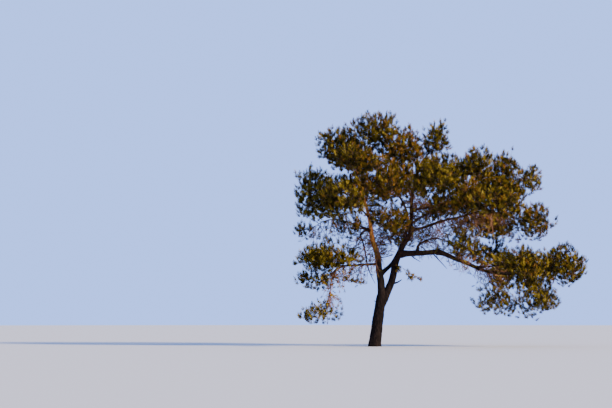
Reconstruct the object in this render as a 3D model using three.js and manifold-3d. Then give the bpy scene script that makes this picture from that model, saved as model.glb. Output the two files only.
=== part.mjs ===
// A mature Scots pine that stands alone: a short dark trunk that forks low, two main stems, long boughs
// and pads of needles with sky between them. Millimetres, Z up, X to the right of the tree seen from its
// front, Y away from the viewer. The origin is the middle of the flat cut under the trunk, at ground level.
//
// Every limb is one tapering tube along a smooth curve through a few waypoints. Every mass of foliage is an
// ellipsoid-shaped space that is filled by one rule: sites for sprays lie on a jittered spiral lattice in the
// outer part of the space, they are joined by twigs to one stem, and each twig ends in a toothed spray.
import * as THREE from 'three';
import Module from 'manifold-3d';

const wasm = await Module();
wasm.setup();

// Driving sizes of the whole tree.
const FOOT_RADIUS = 236;
const FORK_HEIGHT = 2180;

// Seams and clearances.
const SEAM = 0.3;
const SUNK_ROOT = 40;
const CELL_MARGIN = 4;

// Root flare of the trunk: how far it swells, how high it reaches, and its buttresses.
const FLARE = 0.2;
const FLARE_HEIGHT = 260;
const BUTTRESSES = 5;
const BUTTRESS_DEPTH = 0.07;

// Sides of the tubes, by the radius at their start, and the spacing of their rings.
const TRUNK_SIDES = 16;
const THICK_SIDES = 9;
const THIN_SIDES = 6;
const THICK_LIMB = 90;
const RING_SPACING = 540;

// The growth rule of the foliage.
const SEED = 4070;
const GOLDEN_ANGLE = Math.PI * (3 - Math.sqrt(5));
const LATTICE_JITTER = 0.7;
const SITE_AREA = 0.965e6;
const FEWEST_SITES = 6;
const UNDERSIDE = 0.85;
const INNER_EVERY = 4;
const INNER_REACH = 0.5;
const SITE_INSET = 0.55;
const DEEPEST_INSET = 0.7;
const THOMSEN = 1.6;
const FLATNESS = 1.5;
const DETOUR_COST = 0.45;
const HUB_DEPTH = 0.5;
const HUB_ROOM = 0.7;

// Twigs are three-sided and thicken with the number of sprays that they carry.
const TWIG_RADIUS = 8;
const STEM_TAPER = 0.8;

// One spray: a blade with teeth, thick in the middle, where the twig ends.
const SPRAY_SHARE = 0.66;
const SPRAY_MIN = 230;
const SPRAY_MAX = 680;
const TEETH = 4;
const TEETH_FAN = THREE.MathUtils.degToRad(100);
const VALLEY = 0.55;
const RAGGED = 0.3;
const SPRAY_HEEL = 0.3;
const HEEL_ROOM = 0.35;
const SPRAY_THICKNESS = 0.15;
const ROLL_RANGE = 1.6;
const GROWTH = { onward: 0.5, sideways: 0.5, outward: 0.6, upward: 0.3 };
const LEAST_ONWARD = 0.55;
const SPRAY_TRIES = 10;
const STRICT_TRIES = 5;
const SPRAY_SHRINK = 0.84;

// Limbs: the one that carries each, one that it presses against at the fork, and its waypoints as
// [x, y, z, radius].
const LIMBS = {
  trunk: { path: [
    [0, 0, 0, FOOT_RADIUS], [50, 0, 400, 234], [108, 0, 860, 228], [170, 0, 1260, 216],
    [228, 0, 1660, 205], [300, 0, FORK_HEIGHT, 212]] },
  left_stem: { on: 'trunk', path: [
    [300, 0, 1850, 168], [262, -20, 2560, 150], [195, -40, 3000, 134], [160, -40, 3440, 122],
    [60, -35, 3880, 112], [-75, -30, 4260, 100], [-190, 0, 5040, 72], [-345, 30, 5680, 62],
    [-610, 60, 6380, 52], [-690, 50, 6820, 46], [-520, 20, 7450, 38], [-330, 0, 7950, 32]] },
  right_stem: { on: 'trunk', beside: 'left_stem', path: [
    [290, 0, 1620, 138], [400, 0, 1900, 164], [560, 0, 2280, 153], [690, -20, 2600, 145],
    [772, -20, 2930, 140], [830, -30, 3290, 138], [960, -40, 3620, 130], [1150, -30, 4020, 94],
    [1350, 0, 4340, 88], [1470, 20, 4760, 80], [1490, 40, 5700, 68], [1560, 60, 6260, 58],
    [1830, 40, 7200, 42], [2200, 0, 7750, 30]] },
  back_stem: { on: 'left_stem', path: [
    [215, -35, 2860, 88], [628, 240, 3220, 78], [860, 430, 3540, 74], [1150, 650, 4150, 68],
    [1380, 900, 4900, 60], [1300, 1300, 5600, 48], [980, 1800, 6250, 34]] },
  long_bough_inner: { on: 'right_stem', path: [
    [1000, -40, 3700, 132], [1430, -130, 3716, 114], [2000, -310, 3730, 102],
    [2508, -450, 3784, 98]] },
  long_bough_outer: { on: 'long_bough_inner', path: [
    [2450, -435, 3780, 97], [2768, -500, 3688, 93], [3176, -560, 3500, 88], [3584, -620, 3352, 84],
    [4028, -680, 3140, 77], [4508, -720, 2980, 68], [5228, -760, 2900, 56], [6000, -780, 2960, 42],
    [6350, -760, 3060, 34]] },
  arch_bough: { on: 'long_bough_inner', path: [
    [1715, -220, 3730, 66], [1760, -250, 4050, 48], [2108, -300, 4240, 30], [2388, -350, 4320, 27],
    [2700, -420, 4260, 22]] },
  right_mid_bough: { on: 'right_stem', path: [
    [1460, 20, 4640, 62], [1888, 40, 4730, 56], [2564, 190, 4960, 49], [3068, 350, 5112, 42],
    [3400, 480, 5130, 34]] },
  right_upper_bough: { on: 'right_stem', path: [
    [1485, 35, 5440, 54], [1948, 40, 5528, 50], [2628, 60, 5652, 44], [3300, 50, 5850, 38],
    [4050, 20, 6050, 29]] },
  right_top_bough: { on: 'right_stem', path: [
    [1600, 60, 6400, 46], [2200, -60, 6700, 38], [2800, -230, 6860, 31], [3250, -350, 6960, 25]] },
  right_far_bough: { on: 'right_upper_bough', path: [
    [3100, 55, 5790, 34], [3700, 180, 6350, 29], [4350, 380, 6780, 24], [4900, 500, 6950, 19]] },
  right_outer_bough: { on: 'right_upper_bough', path: [
    [3300, 50, 5850, 34], [4150, -280, 5500, 28], [5250, -420, 5260, 20]] },
  right_front_bough: { on: 'right_mid_bough', path: [
    [2050, 75, 4780, 46], [2600, -450, 4980, 40], [3350, -1250, 5130, 33], [4000, -1900, 5300, 24]] },
  right_back_bough: { on: 'back_stem', path: [
    [1370, 880, 4860, 48], [2250, 1250, 5400, 42], [3200, 1680, 5820, 35], [3850, 2000, 6020, 27]] },
  left_low_bough: { on: 'left_stem', path: [
    [170, -40, 3290, 50], [-412, -80, 3272, 45], [-900, -140, 3232, 38], [-1500, -250, 3215, 28]] },
  left_hanging_bough: { on: 'left_low_bough', path: [
    [-1180, -190, 3225, 26], [-1560, -210, 3030, 23], [-1730, -220, 2600, 20],
    [-1770, -220, 2150, 17], [-1900, -210, 1740, 14]] },
  left_mid_bough: { on: 'left_stem', path: [
    [-130, -15, 4640, 40], [-548, -30, 4808, 35], [-1188, -80, 5012, 28], [-1560, -120, 5090, 20],
    [-2050, -200, 4980, 14], [-2520, -270, 4700, 11]] },
  left_upper_bough: { on: 'left_stem', path: [
    [-555, 55, 6230, 40], [-1000, 100, 6310, 34], [-1620, 150, 6260, 25]] },
  left_front_bough: { on: 'left_stem', path: [
    [-225, 5, 5180, 40], [-500, -480, 5420, 34], [-930, -1150, 5700, 25]] },
  left_back_bough: { on: 'left_stem', path: [
    [-335, 30, 5640, 40], [-780, 680, 6000, 33], [-1260, 1350, 6230, 25]] },
  low_front_bough: { on: 'long_bough_outer', path: [
    [3980, -675, 3160, 44], [4380, -1080, 3160, 36], [4900, -1600, 3230, 26]] },
  low_back_bough: { on: 'long_bough_outer', path: [
    [4460, -715, 2990, 44], [4950, -230, 2890, 36], [5560, 420, 2920, 27]] },
  right_hanging_bough: { on: 'long_bough_outer', path: [
    [4480, -720, 2985, 30], [4660, -690, 2620, 24], [4750, -620, 2230, 18]] },
};

// Masses of foliage: middle and half sizes of the space, the limb that carries the stem, how far along
// that limb the stem leaves it (1 is its tip), and a tilt in degrees that lifts the right side.
const MASSES = {
  crown_top: { at: [20, 0, 8400], half: [1140, 1150, 920], on: 'left_stem', along: 1 },
  upper_left: { at: [-1230, 150, 7930], half: [1120, 1100, 900], on: 'left_stem', along: 0.86 },
  upper_left_front: { at: [-920, -1500, 7380], half: [980, 950, 600], on: 'left_stem', along: 0.8 },
  upper_left_back: { at: [-700, 1900, 7500], half: [1050, 1150, 800], on: 'left_stem', along: 0.83 },
  upper_centre: { at: [980, -250, 7760], half: [1060, 1400, 980], on: 'left_stem', along: 0.92 },
  right_peak: { at: [2420, 50, 8150], half: [600, 900, 800], on: 'right_stem', along: 1 },
  upper_right_front: { at: [2300, -1600, 6560], half: [1180, 1100, 960], on: 'right_stem', along: 0.82 },
  upper_right_back: { at: [2900, 2100, 7000], half: [1150, 1150, 850], on: 'right_stem', along: 0.88 },
  right_top: { at: [4000, -500, 7150], half: [900, 1050, 820], on: 'right_top_bough', along: 1 },
  right_top_far: { at: [5310, 500, 7090], half: [620, 950, 760], on: 'right_far_bough', along: 1 },
  right_far: { at: [6150, 250, 6620], half: [640, 950, 660], on: 'right_far_bough', along: 0.93 },
  left_outer: { at: [-2270, 200, 6000], half: [930, 1150, 1130], on: 'left_upper_bough', along: 1 },
  left_front: { at: [-1140, -1900, 5740], half: [1080, 1050, 860], on: 'left_front_bough', along: 1 },
  left_back: { at: [-1200, 2200, 6190], half: [1150, 1050, 900], on: 'left_back_bough', along: 1 },
  centre_front: { at: [160, -1850, 6560], half: [1180, 1080, 980], on: 'left_stem', along: 0.66 },
  centre_low: { at: [640, -1150, 5000], half: [780, 900, 760], on: 'left_stem', along: 0.52 },
  centre_back: { at: [950, 2350, 6500], half: [1200, 1150, 900], on: 'back_stem', along: 1 },
  right_inner: { at: [2350, 1000, 5480], half: [1000, 900, 580], on: 'back_stem', along: 0.8 },
  stem_back: { at: [1040, 1250, 4620], half: [840, 850, 760], on: 'back_stem', along: 0.42 },
  right_middle: { at: [3330, -1500, 5780], half: [1100, 1050, 920], on: 'right_front_bough', along: 0.72 },
  right_centre: { at: [5000, 0, 6120], half: [1150, 1050, 800], on: 'right_upper_bough', along: 1 },
  right_back: { at: [4750, 2300, 6300], half: [1250, 1150, 860], on: 'right_back_bough', along: 1 },
  right_front: { at: [4700, -2500, 5520], half: [1150, 1050, 720], on: 'right_front_bough', along: 1 },
  right_outer: { at: [6200, -450, 4980], half: [980, 1050, 780], on: 'right_outer_bough', along: 1 },
  right_low: { at: [4450, 900, 4850], half: [1350, 1100, 660], on: 'right_mid_bough', along: 1 },
  left_under: { at: [-1030, -700, 4880], half: [760, 800, 460], on: 'left_stem', along: 0.44 },
  arch_spray: { at: [3520, -520, 3980], half: [880, 820, 720], on: 'arch_bough', along: 1 },
  low_inner: { at: [4560, 300, 3580], half: [960, 900, 640], on: 'long_bough_outer', along: 0.42 },
  low_front: { at: [5620, -2150, 3200], half: [1080, 1000, 760], on: 'low_front_bough', along: 1 },
  low_outer: { at: [7340, -650, 3110], half: [1140, 1100, 900], on: 'long_bough_outer', along: 1 },
  low_back: { at: [6050, 1300, 2850], half: [1480, 1200, 800], on: 'low_back_bough', along: 1 },
  hanging_inner: { at: [4920, -450, 1690], half: [940, 900, 600], on: 'right_hanging_bough', along: 1 },
  hanging_outer: { at: [6400, -850, 1830], half: [1040, 950, 680], on: 'long_bough_outer', along: 0.84 },
  left_low_pad: { at: [-1880, -300, 3480], half: [1340, 1250, 600], on: 'left_low_bough', along: 1 },
  left_low_under: { at: [-2040, 300, 2680], half: [1000, 950, 440], on: 'left_low_bough', along: 0.92 },
  left_drooping: { at: [-2180, -200, 1280], half: [1000, 800, 460], on: 'left_hanging_bough',
    along: 1, tilt: 10 },
  left_spray: { at: [-2830, -300, 4600], half: [400, 480, 420], on: 'left_mid_bough', along: 1 },
};

// Finishes.
const BARK_LOW = new THREE.MeshStandardMaterial({ color: 0x3a2e2a, roughness: 0.95, metalness: 0 });
const BARK_HIGH = new THREE.MeshStandardMaterial({ color: 0x8a5230, roughness: 0.9, metalness: 0 });
const NEEDLES = new THREE.MeshStandardMaterial({ color: 0x55601f, roughness: 0.85, metalness: 0 });
const DARK_LIMBS = ['trunk', 'right_stem', 'long_bough_inner', 'long_bough_outer'];

const UP = new THREE.Vector3(0, 0, 1);

// A small seeded generator of numbers from 0 to 1.
function seeded(seed) {
  let state = seed >>> 0;
  return () => {
    state = (state + 0x6d2b79f5) >>> 0;
    let mixed = Math.imul(state ^ (state >>> 15), state | 1);
    mixed = (mixed + Math.imul(mixed ^ (mixed >>> 7), mixed | 61)) ^ mixed;
    return ((mixed ^ (mixed >>> 14)) >>> 0) / 4294967296;
  };
}

// A closed solid from points and the three point numbers of each face.
function solidFrom(points, faces) {
  const coordinates = new Float32Array(points.flatMap((point) => [point.x, point.y, point.z]));
  const corners = new Uint32Array(faces.flat());
  return new wasm.Manifold(new wasm.Mesh({ numProp: 3, vertProperties: coordinates, triVerts: corners }));
}

// A vector at right angles to the direction, as near as it can be to the wanted one.
function squareTo(direction, wanted) {
  const side = wanted.clone().addScaledVector(direction, -wanted.dot(direction));
  if (side.lengthSq() < 1e-6) {
    return squareTo(direction, new THREE.Vector3(direction.y, direction.z, -direction.x));
  }
  return side.normalize();
}

// A closed tube through rings, each with its centre, radius and direction. Swell gives a factor on the
// radius for an angle and a ring.
function tube(rings, sides, swell = () => 1) {
  const points = [];
  const faces = [];
  let side = squareTo(rings[0].direction, new THREE.Vector3(1, 0, 0));
  rings.forEach((ring) => {
    side = squareTo(ring.direction, side);
    const other = new THREE.Vector3().crossVectors(ring.direction, side);
    for (let k = 0; k < sides; k += 1) {
      const angle = (2 * Math.PI * k) / sides;
      const radius = ring.radius * swell(angle, ring);
      points.push(ring.centre.clone()
        .addScaledVector(side, radius * Math.cos(angle))
        .addScaledVector(other, radius * Math.sin(angle)));
    }
  });
  for (let ring = 0; ring < rings.length - 1; ring += 1) {
    for (let k = 0; k < sides; k += 1) {
      const low = ring * sides + k;
      const lowNext = ring * sides + ((k + 1) % sides);
      faces.push([low, lowNext, lowNext + sides], [low, lowNext + sides, low + sides]);
    }
  }
  const last = (rings.length - 1) * sides;
  for (let k = 1; k < sides - 1; k += 1) {
    faces.push([0, k + 1, k], [last, last + k, last + k + 1]);
  }
  return solidFrom(points, faces);
}

// Rings along the smooth curve through a limb's waypoints.
function limbRings(path) {
  const curve = new THREE.CatmullRomCurve3(
    path.map(([x, y, z]) => new THREE.Vector3(x, y, z)), false, 'catmullrom', 0.5);
  const gaps = path.length - 1;
  const steps = Math.round(curve.getLength() / RING_SPACING) + 1;
  const rings = [];
  for (let step = 0; step <= steps; step += 1) {
    const place = (gaps * step) / steps;
    const gap = Math.min(Math.floor(place), gaps - 1);
    rings.push({
      centre: curve.getPoint(place / gaps),
      direction: curve.getTangent(place / gaps),
      radius: THREE.MathUtils.lerp(path[gap][3], path[gap + 1][3], place - gap),
    });
  }
  return rings;
}

// The trunk's rings are level, so that its foot is a flat cut, and they swell into buttresses at the foot.
function trunkSolid(rings, extra) {
  const level = rings.map((ring) => ({ ...ring, direction: UP, radius: ring.radius + extra }));
  level[level.length - 1].centre = level[level.length - 1].centre.clone().addScaledVector(UP, extra);
  return tube(level, TRUNK_SIDES, (angle, ring) => {
    const fade = Math.exp(-ring.centre.z / FLARE_HEIGHT);
    return 1 + fade * (FLARE + BUTTRESS_DEPTH * Math.cos(BUTTRESSES * angle));
  });
}

// A limb's solid, made fatter and longer by extra where it serves to cut its neighbours.
function limbSolid(name, extra = 0) {
  const rings = limbs[name].rings;
  if (name === 'trunk') {
    return trunkSolid(rings, extra);
  }
  const grown = rings.map((ring) => ({ ...ring, radius: ring.radius + extra }));
  const tip = grown[grown.length - 1];
  tip.centre = tip.centre.clone().addScaledVector(tip.direction, extra);
  return tube(grown, rings[0].radius > THICK_LIMB ? THICK_SIDES : THIN_SIDES);
}

// The point, direction and radius at a share of a limb's length.
function alongLimb(name, share) {
  const rings = limbs[name].rings;
  const lengths = rings.slice(1).map((ring, k) => ring.centre.distanceTo(rings[k].centre));
  let left = share * lengths.reduce((sum, length) => sum + length, 0);
  for (let k = 0; k < lengths.length; k += 1) {
    if (left <= lengths[k] || k === lengths.length - 1) {
      const part = Math.min(left / lengths[k], 1);
      return {
        point: rings[k].centre.clone().lerp(rings[k + 1].centre, part),
        direction: rings[k + 1].centre.clone().sub(rings[k].centre).normalize(),
        radius: THREE.MathUtils.lerp(rings[k].radius, rings[k + 1].radius, part),
      };
    }
    left -= lengths[k];
  }
  return null;
}

// A mass's own axes: x and z turned by its tilt.
function massAxes(mass) {
  const tilt = THREE.MathUtils.degToRad(mass.tilt ?? 0);
  return [
    new THREE.Vector3(Math.cos(tilt), 0, Math.sin(tilt)),
    new THREE.Vector3(0, 1, 0),
    new THREE.Vector3(-Math.sin(tilt), 0, Math.cos(tilt)),
  ];
}

// Two masses share the space between them along one plane, so each space is convex and what has all its
// corners in a space lies wholly in it. The number is how far beyond the plane the point lies.
function beyondPlane(point, own, other) {
  const flat = new THREE.Vector3(1, 1, FLATNESS * FLATNESS);
  const slope = other.middle.clone().sub(own.middle).multiply(flat).multiplyScalar(2);
  const power = (mass) => {
    const away = point.clone().sub(mass.middle);
    return away.clone().multiply(flat).dot(away) - mass.size * mass.size;
  };
  return (power(own) - power(other)) / slope.length();
}

function inOwnSpace(point, own) {
  return masses.every((other) => other === own || beyondPlane(point, own, other) < -CELL_MARGIN);
}

// How far out in the mass's ellipsoid a point lies: 1 is its surface.
function reachIn(mass, point) {
  const away = point.clone().sub(mass.middle);
  return Math.hypot(...mass.axes.map((axis, k) => away.dot(axis) / mass.half[k]));
}

// The stem starts sunk in its limb and ends at the hub, inside the mass.
function stemOf(mass) {
  const root = alongLimb(mass.on, mass.along);
  const start = root.point.clone();
  if (mass.along === 1) {
    start.addScaledVector(root.direction, -SUNK_ROOT);
  }
  const distance = reachIn(mass, root.point);
  const share = distance > HUB_DEPTH ? 1 - HUB_DEPTH / distance : HUB_DEPTH / 2;
  const hub = root.point.clone().lerp(mass.middle, share);
  return { start, hub, radius: root.radius * STEM_TAPER };
}

// The room that other masses leave round a stem.
function stemSpace(stem) {
  const direction = stem.hub.clone().sub(stem.start).normalize();
  return tube([stem.start, stem.hub].map((centre) => (
    { centre, direction, radius: stem.radius + CELL_MARGIN })), THIN_SIDES);
}

// A spray's place, with its own chance lean, roll and shortness of each tooth.
function spraySite(point, outward, random) {
  const ragged = Array.from({ length: TEETH }, random);
  return { point, outward, lean: random(), roll: random() - 0.5, ragged };
}

// The surface of a mass's ellipsoid, by Thomsen's formula.
function surfaceOf(mass) {
  const [a, b, c] = mass.half;
  const mean = ((a * b) ** THOMSEN + (a * c) ** THOMSEN + (b * c) ** THOMSEN) / 3;
  return 4 * Math.PI * mean ** (1 / THOMSEN);
}

// Sites for sprays on a jittered spiral lattice, every few of them deeper inside the mass.
function sitesOf(mass, random) {
  const count = Math.max(FEWEST_SITES, Math.round(surfaceOf(mass) / SITE_AREA));
  const sites = [];
  for (let k = 0; k < count; k += 1) {
    const height = 1 - (2 * k + 1) / count;
    const turn = k * GOLDEN_ANGLE + LATTICE_JITTER * (random() - 0.5);
    const ring = Math.sqrt(1 - height * height);
    const unit = [ring * Math.cos(turn), ring * Math.sin(turn), height < 0 ? height * UNDERSIDE : height];
    const inner = k % INNER_EVERY === INNER_EVERY - 1 ? INNER_REACH : 1;
    const point = mass.middle.clone();
    const outward = new THREE.Vector3();
    mass.axes.forEach((axis, n) => {
      const inset = Math.min(SITE_INSET * mass.spray, DEEPEST_INSET * mass.half[n]);
      point.addScaledVector(axis, unit[n] * inner * (mass.half[n] - inset));
      outward.addScaledVector(axis, unit[n] / mass.half[n]);
    });
    sites.push(spraySite(point, outward.normalize(), random));
  }
  return sites;
}

// Joins every site to the stem: again and again the site and the joint that cost least, where the cost
// is the new twig's length plus a share of the whole way back to the hub. The hub has a spray of its own.
function joinSites(hub, sites, random) {
  const joints = [{ point: hub, way: 0, parent: -1, site: spraySite(hub, UP, random), carried: 1 }];
  const waiting = [...sites];
  while (waiting.length > 0) {
    let best = { cost: Infinity };
    waiting.forEach((site, k) => {
      joints.forEach((joint, parent) => {
        const length = site.point.distanceTo(joint.point);
        const cost = length + DETOUR_COST * (joint.way + length);
        if (cost < best.cost) {
          best = { cost, k, parent, way: joint.way + length };
        }
      });
    });
    const [site] = waiting.splice(best.k, 1);
    joints.push({ point: site.point, way: best.way, parent: best.parent, site, carried: 1 });
  }
  return joints;
}

// The corners of a spray round its crest, from the right of the heel by the teeth to the left of it. The
// first three are the end of its twig, and the last two are the upper and lower crest.
function sprayPoints(site, growth, length, heel, thickness) {
  const side = squareTo(growth, new THREE.Vector3().crossVectors(growth, site.outward))
    .applyAxisAngle(growth, site.roll * ROLL_RANGE);
  const normal = new THREE.Vector3().crossVectors(side, growth);
  const place = (along, across, up) => site.point.clone().addScaledVector(growth, along)
    .addScaledVector(side, across).addScaledVector(normal, up);
  const points = [place(-heel, thickness, 0), place(-heel, -thickness, 0), place(-heel, 0, thickness)];
  const steps = 2 * TEETH - 2;
  for (let k = 0; k <= steps; k += 1) {
    const angle = TEETH_FAN * (1 - (2 * k) / steps);
    const reach = length * (k % 2 === 0 ? 1 - RAGGED * site.ragged[k / 2] : VALLEY);
    points.push(place(reach * Math.cos(angle), reach * Math.sin(angle), 0));
  }
  const crest = (SPRAY_THICKNESS * length) / 2;
  points.push(place(0, 0, crest), place(0, 0, -crest));
  return points;
}

// A twig that ends in a spray, as one closed mesh: the twig's three sides run into the spray's heel.
function twigWithSpray(from, startRadius, corners) {
  const heel = corners.slice(0, 3);
  const middle = heel[0].clone().add(heel[1]).add(heel[2]).divideScalar(3);
  const direction = middle.clone().sub(from).normalize();
  const start = heel.map((corner) => from.clone()
    .addScaledVector(squareTo(direction, corner.clone().sub(middle)), startRadius));
  const points = [...start, ...corners];
  const [right0, left0, top0, rightHeel, leftHeel, topHeel] = [0, 1, 2, 3, 4, 5];
  const upperCrest = points.length - 2;
  const lowerCrest = points.length - 1;
  const rim = [rightHeel];
  for (let k = 6; k < upperCrest; k += 1) {
    rim.push(k);
  }
  rim.push(leftHeel);
  const faces = [
    [right0, top0, left0],
    [right0, rightHeel, topHeel], [right0, topHeel, top0],
    [top0, topHeel, leftHeel], [top0, leftHeel, left0],
    [left0, leftHeel, rightHeel], [left0, rightHeel, right0],
    [upperCrest, leftHeel, topHeel], [upperCrest, topHeel, rightHeel],
    [lowerCrest, rightHeel, leftHeel],
  ];
  for (let k = 0; k < rim.length - 1; k += 1) {
    faces.push([upperCrest, rim[k], rim[k + 1]], [lowerCrest, rim[k + 1], rim[k]]);
  }
  return solidFrom(points, faces);
}

// The way a spray grows: on from its twig, outward, sideways and a little up, never back along the twig.
function growthOf(site, direction) {
  const angle = 2 * Math.PI * site.lean;
  const around = squareTo(site.outward, new THREE.Vector3(Math.cos(angle), Math.sin(angle), 0));
  const growth = direction.clone().multiplyScalar(GROWTH.onward).addScaledVector(around, GROWTH.sideways)
    .addScaledVector(site.outward, GROWTH.outward).addScaledVector(UP, GROWTH.upward).normalize();
  const onward = Math.max(growth.dot(direction), LEAST_ONWARD);
  return squareTo(direction, growth).multiplyScalar(Math.sqrt(1 - onward * onward))
    .addScaledVector(direction, onward);
}

// A spray without its twig, to test its room.
function bladeAlone(corners) {
  const upperCrest = corners.length - 2;
  const lowerCrest = corners.length - 1;
  const rim = [0];
  for (let k = 3; k < upperCrest; k += 1) {
    rim.push(k);
  }
  rim.push(1);
  const faces = [];
  rim.forEach((corner, k) => {
    const next = rim[(k + 1) % rim.length];
    faces.push([upperCrest, corner, next], [lowerCrest, next, corner]);
  });
  return solidFrom(corners, faces);
}

const clearOf = (solid, obstacles) => obstacles.every((other) => solid.intersect(other).isEmpty());

// The largest spray, up to the mass's own size, that with its twig keeps to the space and is clear of
// all wood. In the first tries it is also clear of every spray placed before it, and its twig of all but
// the twigs that leave the same crest.
function fittedSpray(joint, mass, root, wood, placed) {
  const growth = growthOf(joint.site, joint.point.clone().sub(root.point).normalize());
  let length = mass.spray;
  for (let attempt = 0; attempt < SPRAY_TRIES; attempt += 1) {
    const heel = Math.min(SPRAY_HEEL * length, HEEL_ROOM * joint.point.distanceTo(root.point));
    const corners = sprayPoints(joint.site, growth, length, heel, joint.radius);
    if (corners.every((corner) => inOwnSpace(corner, mass))) {
      let solid = twigWithSpray(root.point, root.radius, corners);
      if (joint.parent < 0) {
        solid = largestBody(solid.subtract(limbSolid(mass.on, SEAM)));
      }
      const free = attempt >= STRICT_TRIES || (clearOf(bladeAlone(corners), placed.all)
        && clearOf(solid, placed.apart));
      if (free && clearOf(solid, wood)) {
        return solid;
      }
    }
    length *= SPRAY_SHRINK;
    joint.site.roll *= -1;
  }
  return null;
}

// One mass: a stem to the hub, twigs to the sites and a spray at each.
function massSolid(mass, index) {
  const random = seeded(SEED + index);
  const stems = masses.filter((other) => other !== mass).map((other) => other.stem.solid);
  const wood = wasm.Manifold.union([...limbCutters.filter((cutter) => cutter.name !== mass.on)
    .map((cutter) => cutter.solid), ...stems]);
  const ownLimb = limbCutters.find((cutter) => cutter.name === mass.on).solid;
  const reachable = sitesOf(mass, random).filter((site) => inOwnSpace(site.point, mass)
    && site.point.distanceTo(mass.stem.hub) > HUB_ROOM * mass.spray);
  const joints = joinSites(mass.stem.hub, reachable, random);
  for (let k = joints.length - 1; k > 0; k -= 1) {
    joints[joints[k].parent].carried += joints[k].carried;
  }
  joints.forEach((joint) => {
    joint.radius = Math.min(TWIG_RADIUS * Math.sqrt(joint.carried), mass.stem.radius * STEM_TAPER);
    const parent = joints[joint.parent];
    if (!parent) {
      const root = { point: mass.stem.start, radius: mass.stem.radius };
      joint.solid = fittedSpray(joint, mass, root, [wood], { all: [], apart: [] });
    } else if (parent.solid) {
      const before = joints.filter((other) => other.solid);
      const apart = before.filter((other) => other !== parent && other.parent !== joint.parent);
      const placed = { all: before.map((other) => other.solid), apart: apart.map((other) => other.solid) };
      const root = { point: parent.point, radius: joint.radius };
      joint.solid = fittedSpray(joint, mass, root, [wood, ownLimb], placed);
    }
  });
  const grown = joints.filter((joint) => joint.solid).map((joint) => joint.solid);
  mass.sprays = grown.length;
  return largestBody(wasm.Manifold.union(grown));
}

// Loose scraps are dropped.
function largestBody(solid) {
  const bodies = solid.decompose();
  return bodies.reduce((largest, body) => (body.volume() > largest.volume() ? body : largest));
}

function meshOf(name, solid, material) {
  const { vertProperties, triVerts } = solid.getMesh();
  const geometry = new THREE.BufferGeometry();
  geometry.setAttribute('position', new THREE.BufferAttribute(new Float32Array(vertProperties), 3));
  geometry.setIndex(new THREE.BufferAttribute(new Uint32Array(triVerts), 1));
  geometry.computeVertexNormals();
  const mesh = new THREE.Mesh(geometry, material);
  mesh.name = name;
  return mesh;
}

const limbs = {};
Object.entries(LIMBS).forEach(([name, limb]) => {
  limbs[name] = { carriers: [limb.on, limb.beside].filter(Boolean), rings: limbRings(limb.path) };
});
const limbCutters = Object.keys(limbs).map((name) => ({ name, solid: limbSolid(name, CELL_MARGIN) }));

const masses = Object.entries(MASSES).map(([name, mass]) => {
  const mean = (mass.half[0] + mass.half[1] + FLATNESS * mass.half[2]) / 3;
  return {
    ...mass,
    name,
    middle: new THREE.Vector3(...mass.at),
    axes: massAxes(mass),
    size: mean,
    spray: THREE.MathUtils.clamp(SPRAY_SHARE * mean, SPRAY_MIN, SPRAY_MAX),
  };
});
masses.forEach((mass) => {
  mass.stem = stemOf(mass);
  mass.stem.solid = stemSpace(mass.stem);
});

const tree = new THREE.Group();
tree.name = 'scots_pine';
Object.entries(limbs).forEach(([name, limb]) => {
  const solid = limb.carriers.reduce(
    (rest, carrier) => largestBody(rest.subtract(limbSolid(carrier, SEAM))), limbSolid(name));
  tree.add(meshOf(name, solid, DARK_LIMBS.includes(name) ? BARK_LOW : BARK_HIGH));
});
masses.forEach((mass, index) => {
  tree.add(meshOf(mass.name, massSolid(mass, index), NEEDLES));
});

export default tree;
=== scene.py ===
"""A mature Scots pine that stands alone, with a low fork, long boughs and open layers of needles.

The limbs and the spaces of foliage are the CAD part's own, written again here. The same growth rule fills
each space, and this script carries it on: every spray of the CAD part becomes a clump of fine twigs that
end in shoots of paired needles. Waypoints, masses, fringes and gaps are in millimetres and all else is in
metres: Z up, X to the right of the tree seen from its front, Y away from the viewer, the origin at the foot
of the trunk.
"""
import math

import bpy
import numpy as np
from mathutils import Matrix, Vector, noise


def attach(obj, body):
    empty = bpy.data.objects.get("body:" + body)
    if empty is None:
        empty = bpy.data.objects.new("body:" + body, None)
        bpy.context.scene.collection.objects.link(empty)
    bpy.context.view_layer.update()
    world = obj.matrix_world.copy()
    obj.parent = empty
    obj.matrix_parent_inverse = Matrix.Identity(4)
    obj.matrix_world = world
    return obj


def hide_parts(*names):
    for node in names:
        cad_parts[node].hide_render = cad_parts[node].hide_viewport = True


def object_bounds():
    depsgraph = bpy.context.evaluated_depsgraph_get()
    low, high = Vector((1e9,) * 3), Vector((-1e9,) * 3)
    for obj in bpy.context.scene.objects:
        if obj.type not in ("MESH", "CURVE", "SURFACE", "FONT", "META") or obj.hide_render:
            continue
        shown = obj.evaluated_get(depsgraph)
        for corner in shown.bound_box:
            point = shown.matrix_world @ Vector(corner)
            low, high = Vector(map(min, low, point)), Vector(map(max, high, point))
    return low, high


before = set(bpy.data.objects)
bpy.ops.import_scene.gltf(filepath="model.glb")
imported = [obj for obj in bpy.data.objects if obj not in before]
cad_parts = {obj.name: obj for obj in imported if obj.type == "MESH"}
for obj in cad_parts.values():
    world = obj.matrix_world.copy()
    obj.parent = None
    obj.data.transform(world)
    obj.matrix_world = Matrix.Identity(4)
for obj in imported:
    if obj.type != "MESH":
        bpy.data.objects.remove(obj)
CAD_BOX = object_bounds()

MM = 0.001

# The photograph's frame and how it was taken, worked out from the size of the tree in it.
PHOTO_WIDTH = 612
FOCAL_PIXELS = 2250
SENSOR = 36.0
EYE = (-2.732, -90.0, 1.5)
PITCH_UP = math.radians(2.669)
FARTHEST = 1000

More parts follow.
